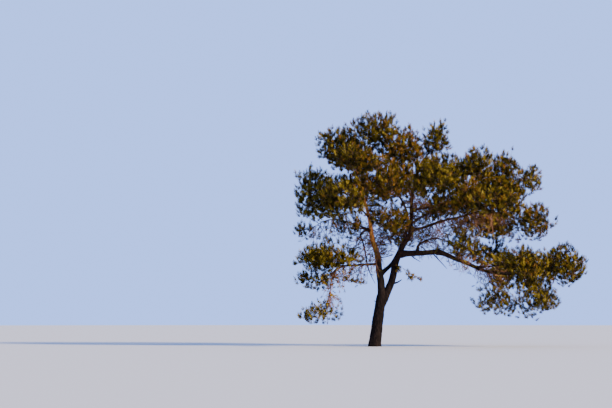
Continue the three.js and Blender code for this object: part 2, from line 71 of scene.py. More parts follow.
# Limbs: the one that carries each, and waypoints as [x, y, z, radius].
LIMBS = {
    "trunk": (None, [
        [0, 0, 0, 236], [50, 0, 400, 234], [108, 0, 860, 228], [170, 0, 1260, 216],
        [228, 0, 1660, 205], [300, 0, 2180, 212]]),
    "left_stem": ("trunk", [
        [300, 0, 1850, 168], [262, -20, 2560, 150], [195, -40, 3000, 134], [160, -40, 3440, 122],
        [60, -35, 3880, 112], [-75, -30, 4260, 100], [-190, 0, 5040, 72], [-345, 30, 5680, 62],
        [-610, 60, 6380, 52], [-690, 50, 6820, 46], [-520, 20, 7450, 38], [-330, 0, 7950, 32]]),
    "right_stem": ("trunk", [
        [290, 0, 1620, 138], [400, 0, 1900, 164], [560, 0, 2280, 153], [690, -20, 2600, 145],
        [772, -20, 2930, 140], [830, -30, 3290, 138], [960, -40, 3620, 130], [1150, -30, 4020, 94],
        [1350, 0, 4340, 88], [1470, 20, 4760, 80], [1490, 40, 5700, 68], [1560, 60, 6260, 58],
        [1830, 40, 7200, 42], [2200, 0, 7750, 30]]),
    "back_stem": ("left_stem", [
        [215, -35, 2860, 88], [628, 240, 3220, 78], [860, 430, 3540, 74], [1150, 650, 4150, 68],
        [1380, 900, 4900, 60], [1300, 1300, 5600, 48], [980, 1800, 6250, 34]]),
    "long_bough_inner": ("right_stem", [
        [1000, -40, 3700, 132], [1430, -130, 3716, 114], [2000, -310, 3730, 102],
        [2508, -450, 3784, 98]]),
    "long_bough_outer": ("long_bough_inner", [
        [2450, -435, 3780, 97], [2768, -500, 3688, 93], [3176, -560, 3500, 88], [3584, -620, 3352, 84],
        [4028, -680, 3140, 77], [4508, -720, 2980, 68], [5228, -760, 2900, 56], [6000, -780, 2960, 42],
        [6350, -760, 3060, 34]]),
    "arch_bough": ("long_bough_inner", [
        [1715, -220, 3730, 66], [1760, -250, 4050, 48], [2108, -300, 4240, 30], [2388, -350, 4320, 27],
        [2700, -420, 4260, 22]]),
    "right_mid_bough": ("right_stem", [
        [1460, 20, 4640, 62], [1888, 40, 4730, 56], [2564, 190, 4960, 49], [3068, 350, 5112, 42],
        [3400, 480, 5130, 34]]),
    "right_upper_bough": ("right_stem", [
        [1485, 35, 5440, 54], [1948, 40, 5528, 50], [2628, 60, 5652, 44], [3300, 50, 5850, 38],
        [4050, 20, 6050, 29]]),
    "right_top_bough": ("right_stem", [
        [1600, 60, 6400, 46], [2200, -60, 6700, 38], [2800, -230, 6860, 31], [3250, -350, 6960, 25]]),
    "right_far_bough": ("right_upper_bough", [
        [3100, 55, 5790, 34], [3700, 180, 6350, 29], [4350, 380, 6780, 24], [4900, 500, 6950, 19]]),
    "right_outer_bough": ("right_upper_bough", [
        [3300, 50, 5850, 34], [4150, -280, 5500, 28], [5250, -420, 5260, 20]]),
    "right_front_bough": ("right_mid_bough", [
        [2050, 75, 4780, 46], [2600, -450, 4980, 40], [3350, -1250, 5130, 33], [4000, -1900, 5300, 24]]),
    "right_back_bough": ("back_stem", [
        [1370, 880, 4860, 48], [2250, 1250, 5400, 42], [3200, 1680, 5820, 35], [3850, 2000, 6020, 27]]),
    "left_low_bough": ("left_stem", [
        [170, -40, 3290, 50], [-412, -80, 3272, 45], [-900, -140, 3232, 38], [-1500, -250, 3215, 28]]),
    "left_hanging_bough": ("left_low_bough", [
        [-1180, -190, 3225, 26], [-1560, -210, 3030, 23], [-1730, -220, 2600, 20],
        [-1770, -220, 2150, 17], [-1900, -210, 1740, 14]]),
    "left_mid_bough": ("left_stem", [
        [-130, -15, 4640, 40], [-548, -30, 4808, 35], [-1188, -80, 5012, 28], [-1560, -120, 5090, 20],
        [-2050, -200, 4980, 14], [-2520, -270, 4700, 11]]),
    "left_upper_bough": ("left_stem", [
        [-555, 55, 6230, 40], [-1000, 100, 6310, 34], [-1620, 150, 6260, 25]]),
    "left_front_bough": ("left_stem", [
        [-225, 5, 5180, 40], [-500, -480, 5420, 34], [-930, -1150, 5700, 25]]),
    "left_back_bough": ("left_stem", [
        [-335, 30, 5640, 40], [-780, 680, 6000, 33], [-1260, 1350, 6230, 25]]),
    "low_front_bough": ("long_bough_outer", [
        [3980, -675, 3160, 44], [4380, -1080, 3160, 36], [4900, -1600, 3230, 26]]),
    "low_back_bough": ("long_bough_outer", [
        [4460, -715, 2990, 44], [4950, -230, 2890, 36], [5560, 420, 2920, 27]]),
    "right_hanging_bough": ("long_bough_outer", [
        [4480, -720, 2985, 30], [4660, -690, 2620, 24], [4750, -620, 2230, 18]]),
}

# Masses of foliage: middle and half sizes of the space, the limb that carries the stem, and how far along
# that limb the stem leaves it (1 is its tip). One of them is tilted, by the given degrees.
MASSES = {
    "crown_top": ([20, 0, 8400], [1140, 1150, 920], "left_stem", 1),
    "upper_left": ([-1230, 150, 7930], [1120, 1100, 900], "left_stem", 0.86),
    "upper_left_front": ([-920, -1500, 7380], [980, 950, 600], "left_stem", 0.8),
    "upper_left_back": ([-700, 1900, 7500], [1050, 1150, 800], "left_stem", 0.83),
    "upper_centre": ([980, -250, 7760], [1060, 1400, 980], "left_stem", 0.92),
    "right_peak": ([2420, 50, 8150], [600, 900, 800], "right_stem", 1),
    "upper_right_front": ([2300, -1600, 6560], [1180, 1100, 960], "right_stem", 0.82),
    "upper_right_back": ([2900, 2100, 7000], [1150, 1150, 850], "right_stem", 0.88),
    "right_top": ([4000, -500, 7150], [900, 1050, 820], "right_top_bough", 1),
    "right_top_far": ([5310, 500, 7090], [620, 950, 760], "right_far_bough", 1),
    "right_far": ([6150, 250, 6620], [640, 950, 660], "right_far_bough", 0.93),
    "left_outer": ([-2270, 200, 6000], [930, 1150, 1130], "left_upper_bough", 1),
    "left_front": ([-1140, -1900, 5740], [1080, 1050, 860], "left_front_bough", 1),
    "left_back": ([-1200, 2200, 6190], [1150, 1050, 900], "left_back_bough", 1),
    "centre_front": ([160, -1850, 6560], [1180, 1080, 980], "left_stem", 0.66),
    "centre_low": ([640, -1150, 5000], [780, 900, 760], "left_stem", 0.52),
    "centre_back": ([950, 2350, 6500], [1200, 1150, 900], "back_stem", 1),
    "right_inner": ([2350, 1000, 5480], [1000, 900, 580], "back_stem", 0.8),
    "stem_back": ([1040, 1250, 4620], [840, 850, 760], "back_stem", 0.42),
    "right_middle": ([3330, -1500, 5780], [1100, 1050, 920], "right_front_bough", 0.72),
    "right_centre": ([5000, 0, 6120], [1150, 1050, 800], "right_upper_bough", 1),
    "right_back": ([4750, 2300, 6300], [1250, 1150, 860], "right_back_bough", 1),
    "right_front": ([4700, -2500, 5520], [1150, 1050, 720], "right_front_bough", 1),
    "right_outer": ([6200, -450, 4980], [980, 1050, 780], "right_outer_bough", 1),
    "right_low": ([4450, 900, 4850], [1350, 1100, 660], "right_mid_bough", 1),
    "left_under": ([-1030, -700, 4880], [760, 800, 460], "left_stem", 0.44),
    "arch_spray": ([3520, -520, 3980], [880, 820, 720], "arch_bough", 1),
    "low_inner": ([4560, 300, 3580], [960, 900, 640], "long_bough_outer", 0.42),
    "low_front": ([5620, -2150, 3200], [1080, 1000, 760], "low_front_bough", 1),
    "low_outer": ([7340, -650, 3110], [1140, 1100, 900], "long_bough_outer", 1),
    "low_back": ([6050, 1300, 2850], [1480, 1200, 800], "low_back_bough", 1),
    "hanging_inner": ([4920, -450, 1690], [940, 900, 600], "right_hanging_bough", 1),
    "hanging_outer": ([6400, -850, 1830], [1040, 950, 680], "long_bough_outer", 0.84),
    "left_low_pad": ([-1880, -300, 3480], [1340, 1250, 600], "left_low_bough", 1),
    "left_low_under": ([-2040, 300, 2680], [1000, 950, 440], "left_low_bough", 0.92),
    "left_drooping": ([-2180, -200, 1280], [1000, 800, 460], "left_hanging_bough", 1),
    "left_spray": ([-2830, -300, 4600], [400, 480, 420], "left_mid_bough", 1),
}

TILTS = {"left_drooping": 10}

# Limbs with the dark, deeply furrowed bark of the lower tree, and the stem whose upper bark is orange.
DARK_LIMBS = ("trunk", "right_stem", "long_bough_inner", "long_bough_outer")
ORANGE_LIMB = "left_stem"

# The growth rule of the source.
SEED = 4070
GOLDEN_ANGLE = math.pi * (3 - math.sqrt(5))
RING_SPACING = 0.54
SUNK_ROOT = 0.04
CELL_MARGIN = 0.004
LATTICE_JITTER = 0.7
SITE_AREA = 0.965
FEWEST_SITES = 6
UNDERSIDE = 0.85
INNER_EVERY = 4
INNER_REACH = 0.5
SITE_INSET = 0.55
DEEPEST_INSET = 0.7
THOMSEN = 1.6
FLATNESS = 1.5
DETOUR_COST = 0.45
HUB_DEPTH = 0.5
HUB_ROOM = 0.7
TWIG_RADIUS = 0.008
STEM_TAPER = 0.8
SPRAY_SHARE = 0.66
SPRAY_MIN = 0.23
SPRAY_MAX = 0.68
TEETH = 4
GROWTH = {"onward": 0.5, "sideways": 0.5, "outward": 0.6, "upward": 0.3}
LEAST_ONWARD = 0.55

# The clump of fine twigs that stands for one spray: half sizes as shares of the spray's length, how far
# along the spray its middle lies, and its twigs in the largest spray. Twigs beyond their mass are drawn
# back to near its surface.
CLUMP_HALF = (0.66, 0.66, 0.6)
CLUMP_FORWARD = 0.1
CLUMP_TWIGS = 33
FEWEST_TWIGS = 5
CLUMP_UNDERSIDE = 0.95
CLUMP_LAYERS = (1.0, 0.85, 0.6)
LAYER_CHANCE = (0.85, 1.1)
DEEP_LAYER = 0.75
CLUMP_JITTER = 0.5
EDGE_INSET = 0.05
EDGE_RANGE = (0.8, 1.12)
EDGE_JITTER = (0.8, 1.2)

# Open masses, with the share of the twigs that they keep.
OPEN_MASSES = {
    "hanging_inner": 0.65, "hanging_outer": 0.8, "left_drooping": 0.72, "left_spray": 0.9,
    "left_low_under": 0.75, "right_outer": 0.85, "arch_spray": 0.8, "left_under": 0.7, "stem_back": 0.7,
    "right_inner": 0.75, "centre_low": 0.8,
}

# Room that tufts leave round the wood, which stands as points at a spacing, above the ground and inside the
# CAD part's box.
WOOD_CLEARANCE = 0.05
WOOD_SPACING = 0.06
LOWEST_NEEDLE = 0.35
BOX_INSET = 0.06

# Fringes that stand out of a mass where the photograph shows them: first and last tuft, and how many there
# are along the way.
FRINGES = {
    "upper_left": [([-1800, 100, 8250], [-2230, 120, 8500], 14)],
    "crown_top": [([-350, 0, 8950], [-300, 0, 9250], 8), ([620, 0, 8900], [740, 0, 9250], 10)],
    "upper_centre": [([1350, -100, 8350], [1430, -100, 8760], 9)],
    "right_peak": [([2680, 50, 8650], [2760, 50, 8920], 8)],
    "left_outer": [
        ([-3000, 150, 6600], [-3080, 150, 6900], 7), ([-2600, 150, 6900], [-2500, 150, 7150], 7),
        ([-2950, -50, 5300], [-1300, -50, 5150], 40)],
    "left_front": [([-720, -1300, 5450], [-450, -1100, 5200], 10)],
    "centre_front": [([0, -1500, 6000], [460, -1500, 5850], 20)],
    "upper_right_front": [([1650, -1300, 6150], [2050, -1300, 5950], 16)],
    "right_outer": [
        ([4900, -450, 4650], [6800, -450, 4520], 26), ([5000, -700, 4400], [6700, -600, 4300], 28)],
    "right_low": [([4000, -200, 4400], [5300, -300, 4150], 16)],
    "left_low_pad": [
        ([-1500, -300, 4050], [-2200, -320, 4250], 16), ([-2800, -320, 3420], [-3150, -320, 3250], 9),
        ([-900, -300, 3750], [-1300, -300, 4050], 9)],
    "left_low_under": [
        ([-2700, 100, 2750], [-3080, 60, 2560], 10), ([-1300, 100, 2650], [-700, 60, 2560], 12),
        ([-2300, 0, 2300], [-2700, 0, 2350], 8)],
    "left_under": [([-1400, -600, 4560], [-900, -500, 4380], 10)],
    "stem_back": [([600, 600, 4350], [950, 500, 4000], 12)],
    "arch_spray": [([2900, -500, 4250], [3300, -500, 3700], 14)],
    "hanging_inner": [
        ([4100, -450, 2250], [5400, -450, 2350], 22), ([3900, -450, 1700], [4400, -450, 1330], 9)],
    "hanging_outer": [
        ([5500, -700, 2250], [6500, -800, 2350], 16), ([5700, -800, 1250], [6300, -800, 1180], 9)],
    "low_outer": [([7950, -650, 3350], [8250, -650, 3420], 9), ([7300, -650, 3850], [7700, -650, 4000], 10)],
}
FRINGE_JITTER = 0.07

# Gaps of sky in and beside the crown: middle and half sizes across and up, as seen from the front in the
# plane of the trunk. Chance moves a gap's edge for each tuft.
SKY_GAPS = [
    (-112, 6880, 280, 160), (-1172, 6020, 400, 250), (930, 5760, 360, 280), (-1252, 6980, 340, 170),
    (-2380, 7860, 330, 330), (1010, 8830, 200, 330), (2080, 8660, 190, 330), (3900, 8000, 460, 170),
    (5580, 7600, 330, 230), (6250, 5800, 330, 180), (7080, 5080, 260, 330),
]
GAP_EDGE = (0.15, 1.25)

# A tuft ends each fine twig: one shoot leads and others stand round it in a whorl.
SIDE_SHOOTS = 2
TUFT_SHOOTS = SIDE_SHOOTS + 1
SIDE_LEAN = 0.55
LEADER_SHARE = 1.4
SIDE_SHARE = 0.75
SHOOT_WAY = {"onward": 0.35, "outward": 0.5, "upward": 1.1}
SHOOT_CHANCE = 0.2
WHORL_CHANCE = 0.1

# A shoot: the length that bears needles, and its pairs of needles, from spread ones to forward ones. Size
# chance is the range of the lengths of shoots and needles.
SHOOT_LENGTH = 0.12
PAIRS = 11
NEEDLE_LENGTH = 0.092
NEEDLE_WIDTH = 0.012
DEEP_SIZE = 1.3
NEEDLE_SPREAD = (math.radians(72), math.radians(20))
NEEDLE_SPREAD_CHANCE = math.radians(9)
NEEDLE_TWIST = math.radians(25)
PAIR_OPENING = math.radians(10)
SIZE_CHANCE = (0.85, 1.15)

# Needle colours, each with its share of the shoots near a clump's surface and deep in it. Deep shoots draw
# more of the near-black one, as painted shade inside the clumps, and fewer of the light one, which is partly
# painted highlight. Own chance is the part of a draw that the other shoots of the clump don't share.
NEEDLE_COLOURS = {
    # Partly the needles' own light green and partly painted highlight, brightened for the sunlit tips.
    "yellow_green": ((0.280, 0.204, 0.022), 0.28, 0.04),
    "olive": ((0.094, 0.067, 0.004), 0.38, 0.26),
    # Near-black needles that stand partly for dark needles and partly for painted shade between and inside
    # tufts.
    "dark_green_and_painted_shade": ((0.012, 0.011, 0.002), 0.20, 0.50),
    "golden_brown": ((0.180, 0.086, 0.012), 0.15, 0.20),
}
OWN_CHANCE = 0.75
MOST_FACES = 180000

# How far a mass's draw of a colour is shifted: towards brown above zero, and towards light green below it,
# where the shift is painted light that brightens the mass.
BROWN_SHIFT_AND_PAINTED_LIGHT = {
    "upper_centre": 0.14, "centre_front": 0.16, "centre_back": 0.14, "centre_low": 0.1, "right_inner": 0.16,
    "stem_back": 0.16, "right_middle": 0.1, "right_outer": 0.1, "left_under": 0.1, "left_drooping": -0.1,
    "left_low_pad": -0.05, "left_outer": -0.08, "left_front": -0.05, "left_spray": -0.06,
    "hanging_inner": -0.1, "hanging_outer": -0.1,
}

# Masses in painted shade, with the share of their outer shoots that take the darker colours of deep ones.
SHADED = {"upper_left": 0.55, "upper_left_front": 0.6, "upper_left_back": 0.4}

# Bark: sides and rings of a limb, plates between furrows, lumps, the step between the patterns of two
# limbs, and the collar where a limb leaves the one that carries it.
BARK_SIDE = 0.021
FEWEST_SIDES = 9
MOST_SIDES = 72
BARK_RING = 0.045
PLATE_SHARE = 0.34
PLATE_MIN = 0.018
PLATE_MAX = 0.075
PLATE_TALL = 2.4
FURROW_WIDTH = 0.4
FURROW_DEPTH = 0.085
LUMP_DEPTH = 0.05
LUMP_SIZE = 0.45
PATTERN_STEP = 10
COLLAR = 0.4
COLLAR_REACH = 1.3
FORK_STEMS = ("left_stem", "right_stem")

# Root flare of the trunk, and the saddle between the stems in which the trunk ends.
FLARE = 0.2
FLARE_HEIGHT = 0.26
BUTTRESSES = 5
BUTTRESS_DEPTH = 0.07
SADDLE = [[275, 0, 1950, 204], [318, 0, 2120, 186], [362, 0, 2230, 145], [398, 0, 2300, 80]]

# Samples that measure a curve, smooth twigs of the source's rule, fine twigs and the woody cores of shoots.
CURVE_SAMPLES = 200
TWIG_BEND = 0.6
STOUT_RINGS = 6
STOUT_SIDES = 6
STOUT_TAPER = 0.85
THIN_SIDES = 3
FINE_RADIUS = 0.0045
FINE_TAPER = (1.2, 0.8)
FINE_ROOM = 0.9
CORE_RADIUS = 0.0045
CORE_REACH = 0.9

# Dead and hanging twigs that the photograph shows apart from the masses, as waypoints.
LONE_TWIGS = [
    [[-150, -20, 4600, 34], [-400, -50, 4600, 34], [-560, -60, 4440, 34], [-450, -90, 4140, 33],
     [-350, -110, 3650, 30], [-290, -120, 3300, 26], [-190, -120, 2960, 20], [30, -120, 2500, 8]],
    [[-560, -60, 4440, 26], [-690, -90, 4180, 20], [-770, -100, 3940, 10]],
    [[255, -30, 3550, 22], [500, -70, 3590, 16], [760, -60, 3670, 12]],
    [[800, -20, 2520, 39], [960, -40, 2580, 30], [1090, -60, 2670, 16]],
    [[130, -20, 1790, 22], [40, -50, 1800, 16], [-20, -60, 1825, 8]],
    [[1440, -130, 3660, 30], [1600, -180, 3520, 22], [1830, -200, 3380, 10]],
    [[2330, -410, 3700, 30], [2560, -470, 3440, 22], [2870, -500, 3100, 10]],
    [[330, 40, 5620, 15], [450, 30, 5250, 14], [560, 20, 4860, 9]],
    [[1200, -250, 5620, 14], [1230, -230, 5300, 10], [1180, -210, 5000, 6]],
]
LONE_RING = 0.08

# Thin twigs that bear a few tufts along their outer part.
SPARSE_TWIGS = [
    [[820, -60, 3270, 13], [1160, -140, 3110, 9], [1500, -200, 2860, 6], [1860, -250, 2650, 4]],
    [[1150, -140, 3110, 7], [1330, -200, 2840, 5], [1420, -230, 2720, 4]],
    [[740, -60, 3300, 12], [880, -120, 3200, 8], [980, -170, 3060, 4]],
    [[-1300, -100, 2800, 9], [-900, -100, 2640, 7], [-480, -110, 2540, 4]],
    [[5060, -700, 2420, 8], [5120, -690, 2160, 6], [5230, -700, 1960, 4]],
    [[-300, 20, 5560, 13], [-170, -160, 5700, 9], [60, -330, 5880, 6], [210, -400, 5960, 4]],
    [[-170, -160, 5700, 8], [-60, -300, 5640, 6], [150, -360, 5610, 4]],
]
SPARSE_RING = 0.05
SPARSE_TUFTS = 8
SPARSE_FROM = 0.45
SPARSE_UPWARD = 0.5
SPARSE_CHANCE = 0.6

# Bare twigs along boughs: the limb, the share of it that bears them, how many, their way and length, and
# the share of them that end in a shoot.
BARE_TWIGS = [
    ("right_mid_bough", 0.1, 0.95, 46, (0.35, -0.1, -0.9), 0.8, 0.35),
    ("arch_bough", 0.1, 1, 26, (0.5, 0, -0.1), 0.55, 0.2),
    ("long_bough_inner", 0.3, 1, 10, (0.3, 0, -0.8), 0.3, 0),
    ("long_bough_outer", 0, 0.7, 44, (0.4, 0, 0.8), 0.6, 0.4),
    ("long_bough_outer", 0.1, 0.6, 34, (0.3, 0, -0.9), 0.45, 0.1),
    ("right_hanging_bough", 0.1, 0.9, 14, (0.3, 0, -0.8), 0.4, 0.3),
    ("left_low_bough", 0.1, 0.9, 26, (-0.3, 0, -0.8), 0.6, 0.35),
    ("left_low_bough", 0.2, 0.9, 20, (-0.3, 0, 0.8), 0.5, 0.3),
    ("left_mid_bough", 0.1, 1, 40, (-0.3, 0, -0.9), 0.65, 0.45),
    ("left_hanging_bough", 0.1, 1, 36, (0, 0, -0.9), 0.5, 0.3),
    ("left_stem", 0.3, 0.62, 50, (0.5, 0.2, -0.2), 0.6, 0.1),
    ("left_stem", 0.26, 0.52, 34, (-0.8, -0.2, -0.1), 0.9, 0.3),
    ("left_stem", 0.28, 0.45, 36, (0.8, 0.3, 0.1), 0.8, 0.25),
    ("left_stem", 0.52, 0.72, 40, (0.8, 0.3, 0.1), 0.75, 0.5),
    ("left_stem", 0.62, 0.9, 22, (0.1, 0, 0.6), 0.6, 0.3),
    ("right_stem", 0.42, 0.75, 64, (0.6, 0, 0.2), 0.8, 0.35),
    ("right_stem", 0.6, 0.9, 20, (-0.2, 0, 0.3), 0.7, 0.3),
    ("back_stem", 0.35, 0.95, 30, (0.1, 0, 0.4), 0.6, 0.3),
    ("right_upper_bough", 0.1, 0.9, 26, (0.3, 0, 0.6), 0.6, 0.3),
    ("right_upper_bough", 0.2, 1, 26, (0.4, 0, -0.8), 0.6, 0.4),
    ("right_top_bough", 0.1, 0.9, 12, (0.3, 0, 0.6), 0.5, 0.3),
    ("right_outer_bough", 0.2, 1, 60, (0.4, 0, -0.7), 0.95, 0.45),
    ("right_front_bough", 0.2, 0.9, 24, (0.3, 0, -0.7), 0.6, 0.4),
    ("right_back_bough", 0.2, 0.9, 16, (0.3, 0, -0.6), 0.5, 0.4),
    ("low_front_bough", 0.1, 0.9, 14, (0.3, 0, -0.7), 0.5, 0.4),
    ("low_back_bough", 0.1, 0.9, 14, (0.3, 0, -0.7), 0.5, 0.4),
]
BARE_RADIUS = 0.015
BARE_TAPER = 0.3
BARE_RINGS = 4
BARE_SPREAD = 0.5
BARE_SIZES = (0.5, 1.1)
BARE_DROOP = 0.15
BARE_WANDER = 0.05
TIP_UPWARD = 0.6

# Side twigs of a bare twig: their places along it, and their spread, length and radius as shares of its own.
SIDE_TWIGS = (0.2, 0.38, 0.55, 0.7, 0.85)
SIDE_TWIG_SPREAD = 0.8
SIDE_TWIG_LENGTH = 0.45
SIDE_TWIG_RADIUS = 0.6

# Colours of bark and twigs, and the heights between which bark changes.
FURROW_COLOUR = (0.003, 0.002, 0.002)
PLATE_COLOUR = (0.013, 0.0075, 0.006)
REDDISH_COLOUR = (0.060, 0.027, 0.012)
REDDISH_HEIGHTS = (2.8, 4.6)
STEM_FLAKE_COLOUR = (0.42, 0.15, 0.032)
# The upper stem's own orange, made brighter than real bark as painted sunlight where the crown shades the
# stem.
ORANGE_AND_PAINTED_SUN_COLOUR = (0.90, 0.34, 0.060)
ORANGE_HEIGHTS = (3.1, 5.1)
BOUGH_FLAKE_COLOUR = (0.018, 0.010, 0.007)
BOUGH_COLOUR = (0.095, 0.040, 0.016)
TWIG_COLOUR = (0.075, 0.034, 0.014)
BARE_COLOUR = (0.150, 0.060, 0.022)
DARK_SHARE = 0.5

# Patterns: scale and detail of a noise and the range of it that blends two colours, and strength and depth
# of a relief.
CRACK_SCALE = 17
CRACK_EDGES = (0, 0.16)
PLATE_BLOTCHES = (9, 6, 0.35, 0.7)
PLATE_RELIEF = (0.8, 0.012)
FLAKE_TALL = 1.6
FLAKE_BLOTCHES = (16, 8, 0.42, 0.58)
FLAKE_RELIEF = (0.6, 0.004)
LOWER_BLOTCHES = (5, 3, 0.3, 0.7)
TWIG_NOISE = (40, 2)
NEEDLE_NOISE = (60, 2)

# Gloss and roughness.
PLATE_ROUGHNESS = 0.92
FLAKE_ROUGHNESS = 0.8
TWIG_ROUGHNESS = 0.85
NEEDLE_ROUGHNESS = (0.45, 0.75)
FLOOR_ROUGHNESS = 0.9
BARK_SPECULAR = 0.08
NEEDLE_SPECULAR = 0.03

# The colour sockets of a mix node, by number, because its names repeat.
MIX_FACTOR = 0
MIX_FIRST = 6
MIX_SECOND = 7
MIX_RESULT = 2

# Stage and light.
FLOOR_RADIUS = 120
FLOOR_SIDES = 96
FLOOR_COLOUR = (0.37, 0.355, 0.33)
SKY_COLOUR = (0.50, 0.80, 1.85)
SKY_STRENGTH = 1.2
KEY_FROM = (0.80, -0.50, 0.42)
KEY_COLOUR = (1.0, 0.82, 0.56)
KEY_STRENGTH = 15
KEY_SOFTNESS = math.radians(9)

# Directions, and sizes that count as none.
UP = np.array([0.0, 0.0, 1.0])
ACROSS = np.array([1.0, 0.0, 0.0])
TINY = 1e-9
WEAK = 1e-3


# A small seeded generator of numbers from 0 to 1, the same as the source's.
def seeded(seed):
    word = 0xFFFFFFFF
    state = seed & word

    def number():
        nonlocal state
        state = (state + 0x6D2B79F5) & word
        value = ((state ^ (state >> 15)) * (state | 1)) & word
        value = ((value + (((value ^ (value >> 7)) * (value | 61)) & word)) & word) ^ value
        return (value ^ (value >> 14)) / (word + 1)

    return number


def norm(vectors):
    return np.linalg.norm(vectors, axis=-1)


def unit(vectors):
    return vectors / np.maximum(norm(vectors), TINY)[..., None]


# Vectors at right angles to the directions, as near as they can be to the wanted ones.
def square_to(directions, wanted):
    turned = np.stack([directions[..., 1], directions[..., 2], -directions[..., 0]], axis=-1)
    side, spare = (vectors - directions * np.sum(vectors * directions, axis=-1, keepdims=True)
                   for vectors in (wanted, turned))
    return unit(np.where(norm(side)[..., None] < WEAK, spare, side))


# Two directions at right angles to each way and to each other.
def sides_of(ways):
    side = square_to(ways, np.broadcast_to(ACROSS, ways.shape))
    return side, np.cross(ways, side)


# The direction that is turned by an angle from one side towards the other.
def around(side, other, angle):
    return side * np.cos(angle) + other * np.sin(angle)


# Joins sets of named arrays into one, by the names in the last set.
def merged(sets):
    return {name: np.concatenate([one[name] for one in sets]) for name in sets[-1]}


def chosen_of(arrays, chosen):
    return {name: values[chosen] for name, values in arrays.items()}


# Points, directions and radii along the smooth curve through a path's waypoints.
def curve_through(path, spacing):
    knots = np.array(path, float) * MM
    knots = np.vstack([2 * knots[0] - knots[1], knots, 2 * knots[-1] - knots[-2]])
    gaps = len(path) - 1

    def at(place):
        gap = min(int(place), gaps - 1)
        t = place - gap
        p0, p1, p2, p3 = knots[gap:gap + 4, :3]
        start = (p2 - p0) / 2
        end = (p3 - p1) / 2
        cubic = 2 * p1 - 2 * p2 + start + end
        square = -3 * p1 + 3 * p2 - 2 * start - end
        point = ((cubic * t + square) * t + start) * t + p1
        way = (3 * cubic * t + 2 * square) * t + start
        radius = knots[gap + 1, 3] + (knots[gap + 2, 3] - knots[gap + 1, 3]) * t
        return point, way, radius

    samples = np.array([at(place)[0] for place in np.linspace(0, gaps, CURVE_SAMPLES)])
    length = norm(np.diff(samples, axis=0)).sum()
    steps = round(length / spacing) + 1
    rings = [at(gaps * step / steps) for step in range(steps + 1)]
    points, ways, radii = (np.array(values) for values in zip(*rings))
    return {"points": points, "ways": unit(ways), "radii": radii}


# Points and triangles of many copies of one shape, from the points of each copy and the shape's triangles.
def copies(points, faces):
    starts = points.shape[1] * np.arange(len(points))[:, None, None]
    return points.reshape(-1, 3), (np.array(faces) + starts).reshape(-1, 3)


# Points and triangles of closed tubes that all have the same number of rings. Each tube has its own points,
# radii and, ring by ring, swell round its sides.
def tubes(points, radii, sides, swell=1.0):
    count, rings = radii.shape
    ways = unit(np.gradient(points, axis=1))
    side, _ = sides_of(ways[:, 0])
    angles = (2 * math.pi * np.arange(sides) / sides)[:, None]
    corners = np.empty((count, rings, sides, 3))
    reach = radii[:, :, None] * swell
    for ring in range(rings):
        side = square_to(ways[:, ring], side)
        other = np.cross(ways[:, ring], side)
        outward = around(side[:, None], other[:, None], angles)
        corners[:, ring] = points[:, ring, None] + outward * reach[:, ring, :, None]
    low = np.arange(rings - 1)[:, None] * sides + np.arange(sides)
    low_next = np.arange(rings - 1)[:, None] * sides + (np.arange(sides) + 1) % sides
    walls = np.stack([low, low_next, low_next + sides, low, low_next + sides, low + sides], axis=-1)
    last = (rings - 1) * sides
    fan = np.arange(1, sides - 1)
    foot = np.stack([0 * fan, fan + 1, fan], axis=-1)
    top = np.stack([last + 0 * fan, last + fan, last + fan + 1], axis=-1)
    return copies(corners.reshape(count, -1, 3), np.vstack([walls.reshape(-1, 3), foot, top]))


def tube(points, radii, sides, swell=1.0):
    return tubes(points[None], radii[None], sides, swell)


# Joins sets of points and triangles into one.
def joined(parts):
    starts = np.cumsum([0] + [len(points) for points, _ in parts[:-1]])
    faces = [part[1] + start for part, start in zip(parts, starts)]
    return np.vstack([points for points, _ in parts]), np.vstack(faces)


# A piece of the tree from points and triangles, riding on the tree's one body.
def piece(name, shape, material, nodes, smooth=False):
    points, faces = shape
    mesh = bpy.data.meshes.new(name)
    mesh.vertices.add(len(points))
    mesh.vertices.foreach_set("co", points.astype(np.float32).ravel())
    mesh.loops.add(faces.size)
    mesh.loops.foreach_set("vertex_index", faces.astype(np.int32).ravel())
    mesh.polygons.add(len(faces))
    mesh.polygons.foreach_set("loop_start", np.arange(0, faces.size, 3, dtype=np.int32))
    mesh.update(calc_edges=True)
    if smooth:
        mesh.shade_smooth()
    else:
        mesh.shade_flat()
    mesh.materials.append(material)
    thing = bpy.data.objects.new(name, mesh)
    bpy.context.scene.collection.objects.link(thing)
    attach(thing, "root")
    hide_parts(*nodes)


# A limb's waypoints. The saddle takes the place of the trunk's last one.
def limb_path(name):
    path = LIMBS[name][1]
    return path[:-1] + SADDLE if name == "trunk" else path


# What bark plates, furrows and lumps make of the radius at each point round a limb, ring by ring.
def bark_relief(radii, lengths, sides, offset):
    swell = np.ones((len(radii), sides))
    for ring, radius in enumerate(radii):
        cell = min(max(radius * PLATE_SHARE, PLATE_MIN), PLATE_MAX)
        along = lengths[ring] / (cell * PLATE_TALL)
        for side in range(sides):
            angle = 2 * math.pi * side / sides
            across = Vector((math.cos(angle), math.sin(angle), 0)) * (radius / cell)
            nearest = noise.voronoi(across + Vector((0, offset, along)))[0]
            furrow = 1 - min((nearest[1] - nearest[0]) / FURROW_WIDTH, 1)
            place = Vector((math.cos(angle), math.sin(angle) + offset, lengths[ring] / LUMP_SIZE))
            swell[ring, side] -= FURROW_DEPTH * furrow * furrow - LUMP_DEPTH * noise.noise(place)
    return swell


# The trunk widens towards the ground and parts into buttresses.
def flare(curve, sides):
    angles = 2 * math.pi * np.arange(sides) / sides
    fade = np.exp(-curve["points"][:, 2] / FLARE_HEIGHT)[:, None]
    return 1 + fade * (FLARE + BUTTRESS_DEPTH * np.cos(BUTTRESSES * angles))


